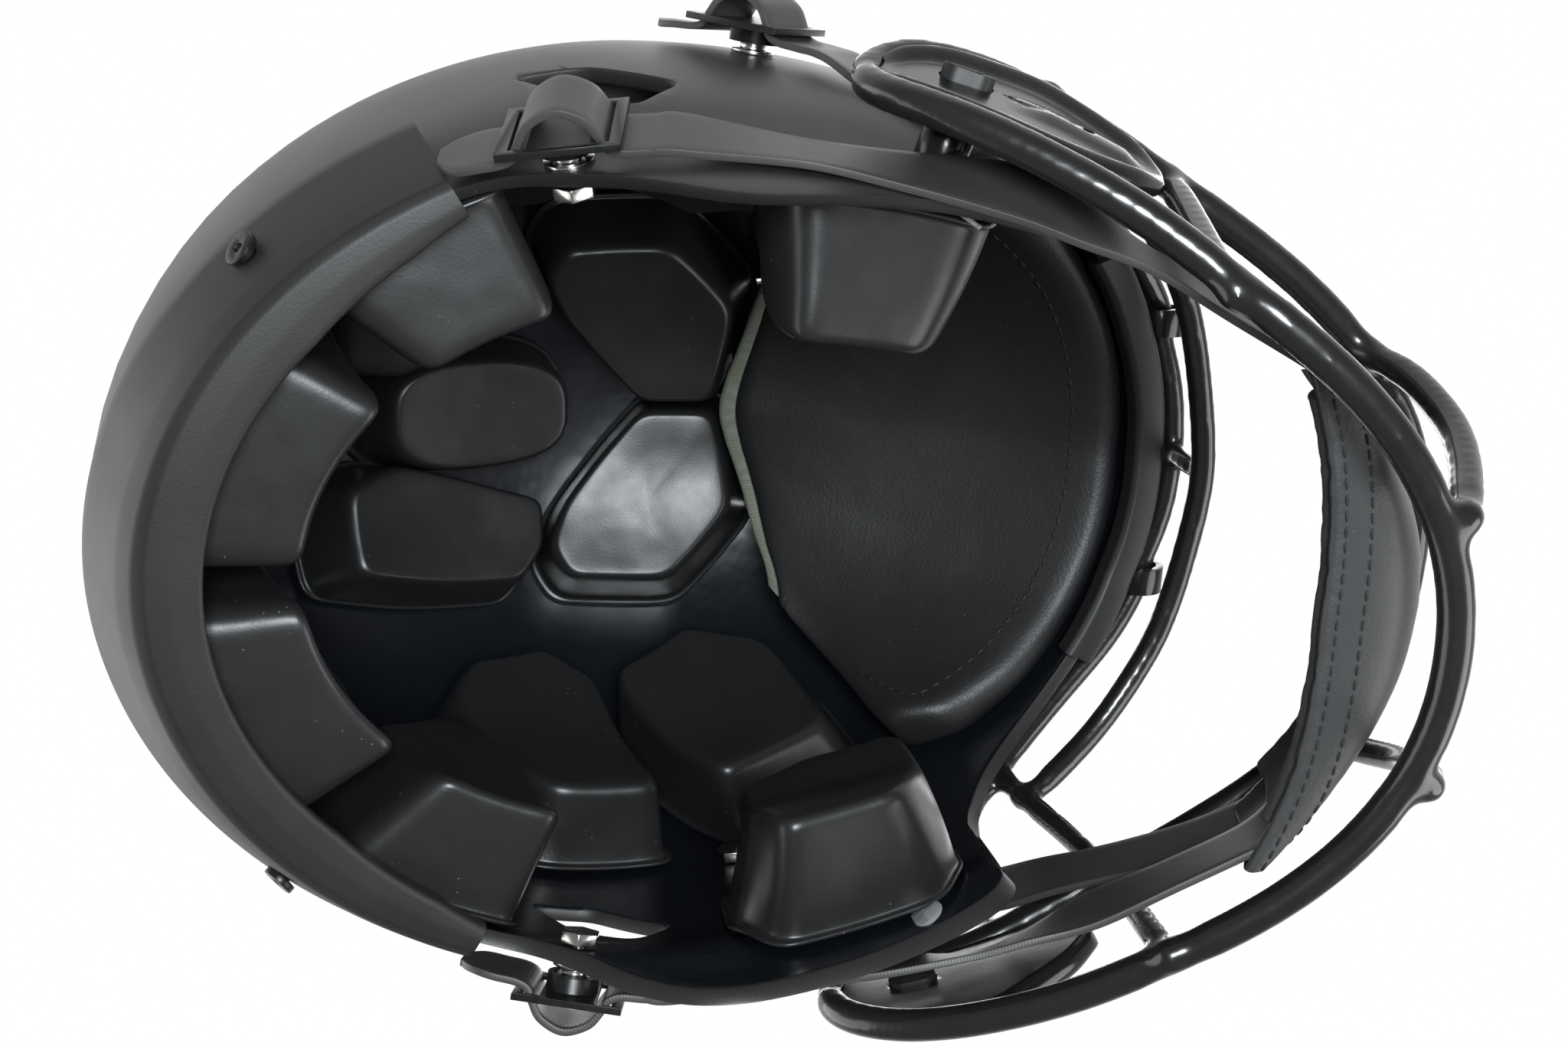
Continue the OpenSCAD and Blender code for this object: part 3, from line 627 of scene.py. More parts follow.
def shell_skin():
    columns = rim_columns(6)
    rows = 42
    rings = [shell_points(columns, j / rows, 0) for j in range(rows - 1, 0, -1)]
    lip = [(0, 0.006), (0.15, 0.002), (0.7, 0)]
    lip += [(SHELL_T - off, v) for off, v in lip[::-1]]
    rings += [shell_points(columns, v, off) for off, v in lip]
    rings += [shell_points(columns, j / rows, SHELL_T) for j in range(1, rows)]
    top = np.array((0, 0, 1.0))
    first, last = to_table(form_points(top, 0)), to_table(form_points(top, SHELL_T))
    return pressed("shell_skin", to_table(np.array(rings)), first, last)


# Lays a flat block on the dome, where its height is the depth under the outer surface
def lay_on_dome(piece, degrees, rise):
    flat = get_points(piece)
    set_points(piece, to_table(patch_points(degrees, rise, flat[:, 0], flat[:, 1], flat[:, 2])))
    edit(piece, outwards)


# Lays a flat block on the upright wall, turned by the lean as it rises
def lay_on_wall(piece, degrees, height, lean, thick):
    flat = get_points(piece)
    turn = degrees + lean * (flat[:, 2] - SEAT) / thick + flat[:, 0] / 2
    set_points(piece, to_table(wall_points(turn, height + flat[:, 1], flat[:, 2])))
    edit(piece, outwards)


# A cutter that flares at both faces of the shell, so the hole's edges come out rounded
def hole_cutter(name, outline, place, paired=True):
    size = np.abs(outline).max()
    flare = 1 + 0.9 / size
    ends = [(0.3, -5), (0.8, -5), (flare + 0.05, -5), (flare + 0.02, -0.4), (flare, 0)]
    inner = [(1 + 0.3 / size, 0.3), (1, 0.9), (1, SHELL_T - 0.9), (1 + 0.3 / size, SHELL_T - 0.3)]
    past = SHELL_T + 4
    steps = ends + inner + [(flare, SHELL_T), (flare + 0.05, past), (0.8, past), (0.3, past)]
    cutter = raised(name, outline, steps)
    lay_on_dome(cutter, *place)
    if paired:
        modify(cutter, "MIRROR", use_mirror_merge=False)
    return cutter


# The corners of each opening, laid flat, and the turn and rise of its middle in degrees
PANEL = [(-44, 30), (-41, -6), (-32, -40), (32, -40), (41, -6), (44, 30)]
EAR_HOLE = [(18, 14), (0, 13.5), (-19, -4.5), (-6, -16), (7, -7)]
PANEL_AT, EAR_HOLE_AT, VENT_AT = (0, 50), (98.9, -27.7), (144, 46)
VENT_WIDE, VENT_HIGH = 34, 9


def panel_opening():
    corners = soften(PANEL, 8, 6)
    push = np.where(corners[:, 1:] > 29, 0.4, 2.6)
    return evenly(corners + unit(corners) * push, 96)


# Faces that look towards the head take the unsprayed finish
def line_inside(piece):
    piece.data.materials.append(SHELL_LINING)
    count = len(piece.data.polygons)
    normals, middles = np.empty(count * 3), np.empty(count * 3)
    piece.data.polygons.foreach_get("normal", normals)
    piece.data.polygons.foreach_get("center", middles)
    head = to_table(np.array((0, EAR_Y, 130.0)))
    away = unit(middles.reshape(-1, 3) / MM - head)
    inside = (normals.reshape(-1, 3) * away).sum(1) < -0.45
    piece.data.polygons.foreach_set("material_index", inside.astype(np.int32))
    piece.data.update()


def shell():
    piece = shell_skin()
    cut_by(piece, hole_cutter("ear_hole", evenly(soften(EAR_HOLE, 4, 8), 56), EAR_HOLE_AT))
    cut_by(piece, hole_cutter("vent", oblong(VENT_WIDE, VENT_HIGH, count=48), VENT_AT))
    cut_by(piece, hole_cutter("panel_slot", panel_opening(), PANEL_AT, paired=False))
    stand_for(piece, "shell", angle=38)
    line_inside(piece)


def flex_panel():
    outline = evenly(soften(PANEL, 8, 6), 96)
    outer = [(0.2, 0), (0.4, 0), (0.6, 0), (0.8, 0), (0.93, 0), (0.975, 0), (0.992, 0.2), (1, 0.8)]
    inner = [(scale, SHELL_T - off) for scale, off in outer[::-1]]
    piece = raised("flex_tongue", outline, outer + inner)
    lay_on_dome(piece, *PANEL_AT)
    stand_for(piece, "flex_panel", angle=60)


shell()
flex_panel()

# Moulded pads: a thin welded flange, drafted walls, a rounded shoulder and an almost flat top
NECK = [(-28, -37), (27, -37), (32, 16), (0, 54), (-16, 48), (-29, 24)]
REAR = [(-32, -38), (31, -38), (31, 24), (-2, 48), (-32, 24)]
JAW = [(-22, -32), (30, -36), (40, -18), (36, 24), (6, 38), (-27, 32), (-29, -16)]
SIDE = [(-44, -36), (0, -38), (14, -28), (38, 14), (36, 28), (0, 38), (-27, 28)]
TEMPLE = [(-34, -20), (12, -37), (22, -22), (45, 26), (0, 38), (-32, 28)]
CROWN_SIDE = [(40, -20), (33, 3), (-20, 44), (-36, 29), (-39, 9), (12, -41)]
CROWN_FRONT = [(50, 4), (33, 17), (-18, 36), (-46, 19), (-28, -20), (10, -34), (50, -13)]


def pad_steps(thick, draft):
    top, foot, wall = SEAT + thick, 0.955, draft + 0.02
    steps = [(0.3, SEAT), (0.65, SEAT), (0.9, SEAT), (0.992, SEAT), (1, SEAT + 0.35), (1, SEAT + 0.95)]
    steps += [(0.994, SEAT + 1.25), (foot + 0.012, SEAT + 1.45), (foot, SEAT + 1.9), (foot - 0.006, SEAT + 3)]
    for share in (0.25, 0.5, 0.75):
        steps.append((foot - 0.006 + (wall - foot + 0.006) * share, SEAT + 3 + (thick - 8) * share))
    for turn in (0, 18, 36, 54, 72, 86):
        a = math.radians(turn)
        steps.append((wall - 0.085 * (1 - math.cos(a)), top - 4.4 + 4.1 * math.sin(a)))
    steps += [(wall - 0.2, top + 0.05), (0.5, top + 0.3), (0.3, top + 0.45), (0.12, top + 0.55)]
    return steps


def moulded_pad(node, outline, thick, place, draft, paired=True):
    piece = raised(node + "_moulded", outline, pad_steps(thick, draft))
    place(piece)
    modify(piece, "SUBSURF", levels=1, render_levels=1)
    if paired:
        modify(piece, "MIRROR", use_mirror_merge=False)
    stand_for(piece, node, angle=180)


def wall_pad(node, corners, degrees, height, thick, draft=0.92, lean=0):
    outline = evenly(soften(corners, 7, 6), 72)
    moulded_pad(node, outline, thick, lambda piece: lay_on_wall(piece, degrees, height, lean, thick), draft)


# Soft skins stand a little proud of the solid round their edge, so that they all but touch
def grown(outline, by_mm):
    return outline * (1 + by_mm / np.linalg.norm(outline, axis=1))[:, None]


def crown_pad(node, outline, degrees, rise, paired=True):
    moulded_pad(node, grown(outline, 2.5), 24, lambda piece: lay_on_dome(piece, degrees, rise), 0.94, paired)


DEEP, SHALLOW = 33, 26
wall_pad("jaw_pads", JAW, 63, 80, DEEP, 0.93, -7)
wall_pad("neck_pads", NECK, 128, 100.5, DEEP)
wall_pad("rear_pads", REAR, 163, 101.5, DEEP)
wall_pad("side_pads", SIDE, 106, 168, SHALLOW)
wall_pad("temple_pads", TEMPLE, 68.5, 172, SHALLOW)
crown_pad("crown_pad", oblong(44, 76, 3), 180, 67, paired=False)
crown_pad("crown_side_pads", evenly(soften(CROWN_SIDE, 6, 6), 72), 144, 50)
crown_pad("crown_front_pads", evenly(soften(CROWN_FRONT, 6, 6), 72), 60, 67)


# Front pad: thin at the brow and thick where it meets the crown pads
PAD_END, BULGE = 47, 6


# At a turn in degrees: the rise of the pad's lower and upper edge, and its thickness at each
def front_sizes(turn):
    far = abs(turn)
    low = np.interp(far, (0, 20, 30, 40, PAD_END), (5.4, 3.4, 1.5, 1, 5))
    spread = np.abs(turn + np.linspace(-6, 6, 13))
    high = np.interp(spread, (0, 10, 20, 30, 38, 44, PAD_END), (61, 60, 57, 52, 46.5, 39.5, 31)).mean()
    thin = np.interp(far, (0, 20, 35, 44, PAD_END), (6, 7, 12, 17, 13))
    return low, high, thin, 28 - far / 12


def below_skin(turn, rise, off):
    way = heading(turn, rise)
    return form_points(way, 0) - np.asarray(off)[..., None] * way


# The pad's face at a turn: share 0 is its lower edge and share 1 its upper edge
def front_face(turn, share):
    low, high, thin, thick = front_sizes(turn)
    p = below_skin(turn, np.array(low), SEAT + thin)
    q = below_skin(turn, np.array(high), SEAT + thick)
    return p + (q - p) * share + BULGE * np.sin(np.pi * share) * heading(turn, (low + high) / 2)


def front_ring(turn):
    low, high, thin, thick = front_sizes(turn)
    rise = np.linspace(low, high, 17)
    outer = below_skin(turn, rise, SEAT + 5.4 * np.interp(rise, (18, 28), (0, 1)))
    past, depth = np.array(((1.0, 1.5, 1.3), (0.25, 0.5, 0.8)))
    shoulder = below_skin(turn, high + past, SEAT + thick * depth)
    face = front_face(turn, np.linspace(1, 0, 19)[:, None])
    foot = below_skin(turn, np.array((low - 0.5, low - 0.4)), SEAT + thin * np.array((0.66, 0.3)))
    return np.vstack((outer, shoulder, face, foot))


def front_pad():
    turns = np.concatenate(((-PAD_END, -46.6), np.linspace(-45.6, 45.6, 61), (46.6, PAD_END)))[::-1]
    rings = to_table(np.array([evenly(front_ring(turn), 64) for turn in turns]))
    shrink_ends(rings, 0.94)
    piece = pressed("front_pad_cover", rings)
    modify(piece, "SMOOTH", factor=0.5, iterations=3)
    stand_for(piece, "front_pad", angle=180)


# The seam runs round the pad's face, a little in from its brow edge and its two ends
def front_seam():
    points, lifts = [], []
    for turn in np.linspace(-44.5, 44.5, 90):
        low, high = front_sizes(turn)[:2]
        share = 0.09 + 0.30 * max(0, (abs(turn) - 40) / 4.5) ** 1.6
        points.append(front_face(turn, share))
        lifts.append(-heading(turn, (low + high) / 2))
    line = spaced(to_table(np.array(points)), 4.2)
    far = np.linspace(0, len(points) - 1, len(line))
    ways = read_at(far, range(len(points)), np.array(lifts))
    stitches("front_pad_seam", "helmet", line, to_table(ways) - to_table(np.zeros(3)), 3, 1)


# The woven edging's section: rise past the pad's upper edge in degrees, and depth past its face
EDGING = [(1.9, -12), (2.7, -12), (2.7, -5), (2.5, 0), (2.1, 1.3), (1.2, 2.2), (-1, 2.4), (-1, 1.5),
    (0.6, 1.3), (1.3, 0.5), (1.8, -4)]


def front_trim():
    rise, off = np.array(EDGING).T
    rings = []
    for turn in np.linspace(45.5, -45.5, 73):
        low, high, thin, thick = front_sizes(turn)
        rings.append(below_skin(turn, high + rise, SEAT + thick + off))
    piece = pressed("front_pad_edging", to_table(np.array(rings)))
    stand_for(piece, "front_pad_trim", angle=70)


# Stitches: one small rounded thread, copied along a line on a surface
def stitches(name, body, points, lifts, long_mm=2.6, wide_mm=0.75):
    thread = primitive(bpy.ops.mesh.primitive_uv_sphere_add, "thread", segments=8, ring_count=6, radius=0.5)
    stitch = get_points(thread) * MM * (wide_mm * 0.7, wide_mm, long_mm)
    faces = [tuple(face.vertices) for face in thread.data.polygons]
    remove(thread)
    places, rows = [], []
    for number, (start, end) in enumerate(zip(points, points[1:])):
        run = unit(end - start)
        lift = unit(lifts[number] - run * (lifts[number] @ run))
        axes = np.stack((lift, np.cross(run, lift), run))
        places.append((start + end) / 2 + stitch @ axes + lift * 0.12)
        rows += [tuple(corner + number * len(stitch) for corner in face) for face in faces]
    mesh = bpy.data.meshes.new(name)
    mesh.from_pydata(np.vstack(places) * MM, [], rows)
    piece = placed(name, mesh)
    edit(piece, outwards)
    shade(piece, 180)
    mesh.materials.append(THREAD)
    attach(piece, body)


def spaced(path, gap_mm):
    far = distances(path)
    return read_at(np.linspace(0, far[-1], max(2, int(far[-1] / gap_mm))), far, path)


front_pad()
front_seam()
front_trim()


# Face guard: all its wires fused under one dipped coating, with a bead at every weld, in millimetres
GUARD_WIRES = ["chin_bar", "mouth_bar", "upper_brow_bar", "lower_brow_bar", "brow_strut", "chin_uprights",
    "side_uprights", "temple_bars"]
WELDS = [(50.5, -157, 76), (30, -160, 5), (74.5, -109, 6), (90, -105.5, 74), (93.5, -88, 126), (93, -81, 146),
    (100, -73, 130), (108.5, -75.5, 70)]
BEAD_RADIUS, MELT_REACH, MELT_EDGE = 4.4, 11, 4
USUAL_COATING = 0.45
COATING = {"chin_bar": 0.85, "mouth_bar": 0.85, "side_uprights": 0.2}


def weld_bead(place):
    add = bpy.ops.mesh.primitive_ico_sphere_add
    bead = primitive(add, "weld_bead", subdivisions=3, radius=BEAD_RADIUS * MM)
    set_points(bead, get_points(bead) * (1, 1, 0.95) + np.array(place) + (0, SEAT_Y, 0))
    return bead


# The coating runs into the corners round each weld
def melt_welds(whole):
    points = get_points(whole)
    near = np.full(len(points), 99.0)
    for x, y, z in WELDS:
        away = np.abs(points - (0, SEAT_Y, 0)) * (1, -1, 1) - (x, y, z)
        near = np.minimum(near, np.linalg.norm(away, axis=1))
    share = np.clip((MELT_REACH - near) / MELT_EDGE, 0, 1)
    group = whole.vertex_groups.new(name="near_welds")
    for tenths in range(1, 11):
        group.add(np.nonzero(np.rint(share * 10) == tenths)[0].tolist(), tenths / 10, "REPLACE")
    modify(whole, "SMOOTH", factor=0.5, iterations=24, vertex_group="near_welds")
    whole.vertex_groups.clear()


def guard():
    parts = []
    for wire in GUARD_WIRES:
        piece = copy_of(wire, wire + "_part")
        edit(piece, to_quads)
        modify(piece, "SUBSURF", levels=2, render_levels=2)
        modify(piece, "DISPLACE", strength=COATING.get(wire, USUAL_COATING) * MM, mid_level=0)
        parts.append(piece)
    for x, y, z in WELDS:
        parts.append(weld_bead((x, y, z)))
        parts.append(weld_bead((-x, y, z)))
    bpy.ops.object.select_all(action="DESELECT")
    for piece in parts:
        piece.select_set(True)
    bpy.context.view_layer.objects.active = parts[0]
    bpy.ops.object.join()
    whole = bpy.context.view_layer.objects.active
    whole.name = "guard_wires"
    whole.data.name = "guard_wires"
    modify(whole, "REMESH", mode="VOXEL", voxel_size=0.95 * MM, use_smooth_shade=True)
    modify(whole, "SMOOTH", factor=0.5, iterations=22)
    melt_welds(whole)
    stand_for(whole, *GUARD_WIRES)


guard()


# Rubber along the rim, drawn as one section of (depth under the skin, height) carried round the form
def rim_run(name, turns, section, radius=0.7):
    rings = []
    for turn in turns:
        corners = soften(section(turn), radius, 3)
        rings.append(wall_points(turn, corners[:, 1], corners[:, 0]))
    return pressed(name, to_table(np.array(rings)))


def rear_section(turn):
    lip = np.interp(180 - abs(180 - turn), (118, 128, 145, 180), (5, 8.5, 11.5, 12))
    inside = [(-3.8, 84), (-0.9, 84), (-0.9, 60.9), (lip / 2, 60.9), (lip - 0.5, 60.9), (lip, 60)]
    under = [(lip - 1, 56.6), (lip - 2.4, 55.8), (lip * 0.3, 55.4), (-2, 55.5)]
    return inside + under + [(-3.8, 57), (-4.2, 62), (-4.2, 80)]


def brow_section(turn):
    z = np.interp(abs(turn), (0, 14, 24), (155.6, 154, 148.5))
    up = np.interp(abs(turn), (10, 11.5), (19, 2.4))
    inside = [(-2.7, z + up), (-0.7, z + up), (-0.7, z - 0.2), (4.5, z - 0.2), (4.5, z + 4), (6.4, z + 4)]
    return inside + [(6.6, z - 2), (5, z - 3.4), (-1.5, z - 3.4), (-2.9, z - 2)]


# The turn and height of each bumper's screws, and their bore
REAR_SCREWS = [(142, 73), (218, 73)]
FRONT_SCREWS = [(-7, 168), (7, 168)]
SCREW_BORE = 4.4


def screw_axis(degrees, height):
    above, under = wall_points(degrees, height + 3, 0), wall_points(degrees, height - 3, 0)
    reach = np.hypot(above[0], above[1] - EAR_Y) - np.hypot(under[0], under[1] - EAR_Y)
    tilt = math.atan2(reach, 6)
    a = math.radians(degrees)
    out = np.array((math.sin(a), -math.cos(a), 0))
    return unit(out * math.cos(tilt) + np.array((0, 0, 1)) * -math.sin(tilt))


def drill(piece, spots):
    add = bpy.ops.mesh.primitive_cylinder_add
    for degrees, height in spots:
        place = wall_points(degrees, height, 0)
        here = to_table(place)
        ahead = to_table(place + screw_axis(degrees, height)) - here
        bit = primitive(add, "screw_bore", vertices=24, radius=SCREW_BORE / 2 * MM, depth=12 * MM)
        turn = Vector(ahead).to_track_quat("Z", "Y").to_matrix()
        set_points(bit, get_points(bit) @ np.array(turn).T + here)
        cut_by(piece, bit)


# The front bumper's tab ends within two degrees, so the sections stand closer there
def bumpers():
    rear = rim_run("rear_bumper_moulded", np.arange(240, 119.5, -1.0), rear_section)
    drill(rear, REAR_SCREWS)
    step = np.array((11.5, 11.2, 10.9, 10.6, 10.3, 10))
    turns = np.concatenate((np.arange(24, 11.6, -1), step, np.arange(9, -9.5, -1), -step[::-1],
        np.arange(-12, -24.5, -1)))
    front = rim_run("front_bumper_moulded", turns, brow_section, 0.6)
    drill(front, FRONT_SCREWS)
    stand_for(rear, "rear_bumper", angle=45)
    stand_for(front, "front_bumper", angle=45)


bumpers()


# Straps: each is a strip that threads its buckle at the stud and runs forward to the chin cup
STRAP_WIDE, STRAP_T = 20, 1.7
LOWER_STUD, UPPER_STUD = (13, 57), (-42, 133)


def side_x(y, z):
    back = np.asarray(y) > EAR_Y
    wide, reach = half_sizes(np.asarray(z, float), 0, back)
    power = plan_power(back)
    return wide * np.maximum(0, 1 - np.abs((y - EAR_Y) / reach) ** power) ** (1 / power)


def about_z(v, a):
    return np.array((v[0] * math.cos(a) + v[1] * math.sin(a), -v[0] * math.sin(a) + v[1] * math.cos(a), v[2]))


def stud_axes(y, z, turn):
    lean = math.atan((side_x(y, z + 3) - side_x(y, z - 3)) / 6)
    yaw = math.atan((side_x(y + 3, z) - side_x(y - 3, z)) / 6)
    turn = math.radians(turn)
    down = about_z((-math.sin(lean), 0, -math.cos(lean)), yaw)
    rear = about_z((0, 1, 0), yaw)
    out = about_z((math.cos(lean), 0, -math.sin(lean)), yaw)
    return math.cos(turn) * down + math.sin(turn) * rear, math.cos(turn) * rear - math.sin(turn) * down, out


def beside(y, z, gap):
    worn_y = y * math.cos(TIP) - (z - SEAT_Z) * math.sin(TIP)
    worn_z = (z - SEAT_Z) * math.cos(TIP) + y * math.sin(TIP)
    return [float(side_x(worn_y, worn_z)) + gap, y, z]


# The strap's arch over its buckle: distance along the strap, and height over the shell
ARCH = [(27, 3.6), (23, 3.6), (18, 4.2), (12.5, 4.7), (9.6, 6), (8.2, 8.8), (5.6, 12.4), (0, 14.6),
    (-5.6, 12.4), (-8.2, 8.8), (-9.6, 6), (-12.5, 4.7), (-18, 4.3), (-25, 3.6)]
# The way from the buckle to the cup, and how far the strap leans out at each point
LOWER_AHEAD = [beside(-22, 30, 2.4), beside(-45, 29.5, 2.6), (90.6, -66, 29.5), (85, -80, 30),
    (77.5, -95, 31), (68, -113, 32), (58.5, -130, 33), (53, -136.5, 33)]
LOWER_LEANS = (0.16, 0.3, 0.55, 0.45, 0.15, 0.2, 0.2, 0.1)
UPPER_AHEAD = [beside(-36, 95, 2.6), beside(-50, 87, 3), (100.5, -63, 79), (94, -77, 71), (85, -91, 63),
    (76, -107, 56), (67, -124, 51), (58.5, -138, 49), (53, -144, 49)]
UPPER_LEANS = (0.16, 0.16, 0.16, 0.05, 0.12, 0.12, 0.05, 0, 0)


def strap_line(spot, turn, ahead, leans):
    y, z = spot
    down, rear, out = stud_axes(y, z, turn)
    base = np.array((float(side_x(y, z)), y, z))
    arch = to_table(np.array([base + a * rear + b * out for a, b in ARCH]))
    across = to_table(base + down) - to_table(base)
    path = np.vstack((arch, np.array(ahead, float) + (0, SEAT_Y, 0)))
    ups = [-across] * len(arch) + [unit(np.array((lean, 0, 1.0))) for lean in leans]
    return smooth_path(path, 8), unit(smooth_path(ups, 8))


# The strip's own flat map is kept as "along": metres from its middle line, and metres along it
def strap(name, node, spot, turn, ahead, leans, ride=True):
    line, ups = strap_line(spot, turn, ahead, leans)
    across, long = 8, len(line) - 1
    add = bpy.ops.mesh.primitive_grid_add
    piece = primitive(add, name, x_subdivisions=across, y_subdivisions=long, size=2)
    flat = get_points(piece) * MM
    column = np.rint((flat[:, 0] + 1) / 2 * across)
    row = np.rint((flat[:, 1] + 1) / 2 * long).astype(int)
    far = distances(line)
    run = unit(np.gradient(line, axis=0))
    lift = unit(ups - run * (ups * run).sum(1)[:, None])
    tail = np.clip(far / (STRAP_WIDE / 2), 0, 1)
    half = STRAP_WIDE / 2 * np.sqrt(np.maximum(0.12, 1 - (1 - tail) ** 2.6))
    side = (column / across * 2 - 1) * half[row]
    set_points(piece, line[row] + lift[row] * side[:, None])
    piece.data.uv_layers[0].name = "along"
    corners = np.empty(len(piece.data.loops), int)
    piece.data.loops.foreach_get("vertex_index", corners)
    flat_map = np.stack((side[corners], far[row][corners]), -1) * MM
    piece.data.uv_layers["along"].data.foreach_set("uv", flat_map.ravel())
    modify(piece, "SOLIDIFY", thickness=STRAP_T * MM, offset=0)
    bevel(piece, 0.35, 50)
    modify(piece, "MIRROR", use_mirror_merge=False)
    stand_for(piece, node, angle=50, ride=ride)
    return piece


strap("lower_strap_run", "lower_straps", LOWER_STUD, 15.5, LOWER_AHEAD, LOWER_LEANS)
upper = strap("upper_strap_run", "upper_straps", UPPER_STUD, 43, UPPER_AHEAD, UPPER_LEANS, ride=False)
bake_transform(upper)

# Chin cup: a curved band under and in front of the chin, with a soft liner and two seams along its rear edge.
# Each station: x, the rear edge's y, the front's y and the top's height.
CUP = [(0, -138, -166, 62), (14, -138, -164.5, 62), (28, -137, -159.5, 61.5), (40, -135, -152.5, 60.5),
    (50, -132, -145, 59.5), (57, -129.5, -139, 58.5), (61, -128, -135, 57)]
CUP_END, LINER_END = 70, 55
COVER_T, LINER_T = 3.2, 8.5


def cup_stations(reach):
    half = smooth_path([station for station in CUP if station[0] < reach], 6)
    mirror = half[:0:-1] * (-1, 1, 1, 1)
    return np.vstack((mirror, half))


def cup_profile(station):
    x, back, front, top = station
    bottom = back + (front - back) * 0.62
    path = smooth_path([(back, 20.5), (bottom, 23.5), (front + 2.2, 37), (front, 50), (front + 0.5, top)], 7)
    run = unit(np.gradient(path, axis=0))
    return path, np.stack((-run[:, 1], run[:, 0]), -1)


def cup_skin(name, node, outer, inner, reach, ease):
    rings = []
    for station in cup_stations(reach):
        path, inward = cup_profile(station)
        offs = np.full(len(path), float(outer))
        offs[[0, -1]] += ease
        ins = np.full(len(path), float(inner))
        ins[[0, -1]] -= ease
        ring = np.vstack((path[::-1] - offs[::-1, None] * inward[::-1], path - ins[:, None] * inward))
        rings.append(np.hstack((np.full((len(ring), 1), station[0]), ring + (SEAT_Y, 0))))
    piece = pressed(name, rings)
    modify(piece, "SUBSURF", levels=1, render_levels=1)
    stand_for(piece, node, angle=180)
    return piece


def cup_seam(name, inset):
    points, lifts = [], []
    for station in cup_stations(CUP_END):
        path, inward = cup_profile(station)
        far = distances(path)
        points.append((station[0], *(read_at(inset, far, path) + (SEAT_Y, 0))))
        lifts.append((0, *read_at(inset, far, inward)))
    points, lifts = np.array(points), unit(np.array(lifts))
    line = spaced(points, 3.4)
    stitches(name, BODY_OF["chin_cup"], line, read_at(line[:, 0], points[:, 0], lifts))


def chin_cup():
    cup_skin("chin_cup_cover", "chin_cup", 0, COVER_T, CUP_END, 0.7)
    liner = cup_skin("chin_cup_padding", "chin_cup_liner", COVER_T, LINER_T, LINER_END, 1.6)
    cup_seam("cup_seam_a", 3.2)
    cup_seam("cup_seam_b", 9.0)


chin_cup()

# Side clips: a dished plate with a rolled rim, holed for its button and grooved ahead of it.
# Each pair is the lower and the upper end of a line across the plate, from the ear forward.
CLIP = [((111.2, -36.5, 35), (114.6, -36, 53)), ((109, -43, 28.5), (116.6, -42.5, 60)),
    ((107, -50, 24), (116.2, -51.5, 64)), ((103.5, -60, 20), (113.5, -61.5, 66.5)),
    ((98.8, -72, 18.5), (109.5, -73, 67.5)), ((95, -82, 24), (103.5, -84, 64)),
    ((92, -91, 31), (97.5, -93, 59)), ((89.8, -97.5, 40), (91.8, -98.5, 51))]
PLATE_HALF_T, ROLL, HOLLOW, RIB = 2.7, 0.9, 1.4, 1.5
SLOT_AT, SLOT_TURN, SLOT_RADIUS, SLOT_STRETCH = (107.2, -74 + SEAT_Y, 45), math.radians(-24), 3, 8


def clip_rings():
    ends = smooth_path([np.hstack(pair) for pair in CLIP], 6)
    low, high = ends[:, :3], ends[:, 3:]
    across = unit(high - low)
    out = unit(np.cross(across, np.gradient((low + high) / 2, axis=0)))
    out *= np.sign(out[:, :1])
    rings = []
    for number, (start, end) in enumerate(zip(low, high)):
        long = np.linalg.norm(end - start)
        far = (1 - np.cos(np.linspace(0, np.pi, 45))) / 2 * long
        rim = np.minimum(far, long - far)
        edge = np.sqrt(1 - (1 - np.minimum(rim / 2.4, 1)) ** 2)
        dish = min(1, max(0, (long - 14) / 16))
        ahead = np.interp(number, (20, 24, 34, 38), (0, 1, 1, 0))
        roll = ROLL * np.exp(-((rim - 3.4) / 1.8) ** 2)
        hollow = HOLLOW * np.clip((rim - 4.6) / 3.4, 0, 1) ** 2
        rib = RIB * ahead * np.exp(-((far - long / 2) / 5) ** 4)
        outer = edge * (PLATE_HALF_T + dish * (roll - hollow + rib))
        face = start + far[:, None] * across[number] + outer[:, None] * out[number]
        back = start + far[1:-1, None] * across[number] - (edge[1:-1] * PLATE_HALF_T)[:, None] * out[number]
        rings.append(np.vstack((face, back[::-1])))
    rings = np.array(rings) + (0, SEAT_Y, 0)
    shrink_ends(rings, 0.9)
    return rings


# The slot ahead of the button: a round bore drawn out to an oblong, turned and moved to its place
def slot_cutter():
    add = bpy.ops.mesh.primitive_cylinder_add
    slot = primitive(add, "clip_slot", vertices=40, radius=SLOT_RADIUS * MM, depth=4 * MM)
    z, y, x = get_points(slot).T
    y = y + SLOT_STRETCH * np.sign(y)
    c, s = math.cos(SLOT_TURN), math.sin(SLOT_TURN)
    set_points(slot, np.stack((x * c - y * s, x * s + y * c, z), -1) + SLOT_AT)
    edit(slot, outwards)
    return slot


def side_clips():
    piece = pressed("side_clip_left_moulded", clip_rings())
    for node, clearance in (("release_button_left", 0.45), ("mouth_bar", 1)):
        cutter = copy_of(node, node + "_bore")
        modify(cutter, "DISPLACE", strength=clearance * MM, mid_level=0)
        cut_by(piece, cutter)
    cut_by(piece, slot_cutter())
    bevel(piece, 0.4, 42)
    shade(piece, 40)
    other = placed("side_clip_right_moulded", piece.data.copy())
    other.data.name = "side_clip_right_moulded"
    set_points(other, get_points(other) * (-1, 1, 1))
    edit(other, outwards)
    stand_for(piece, "side_clip_left")
    stand_for(other, "side_clip_right")


side_clips()

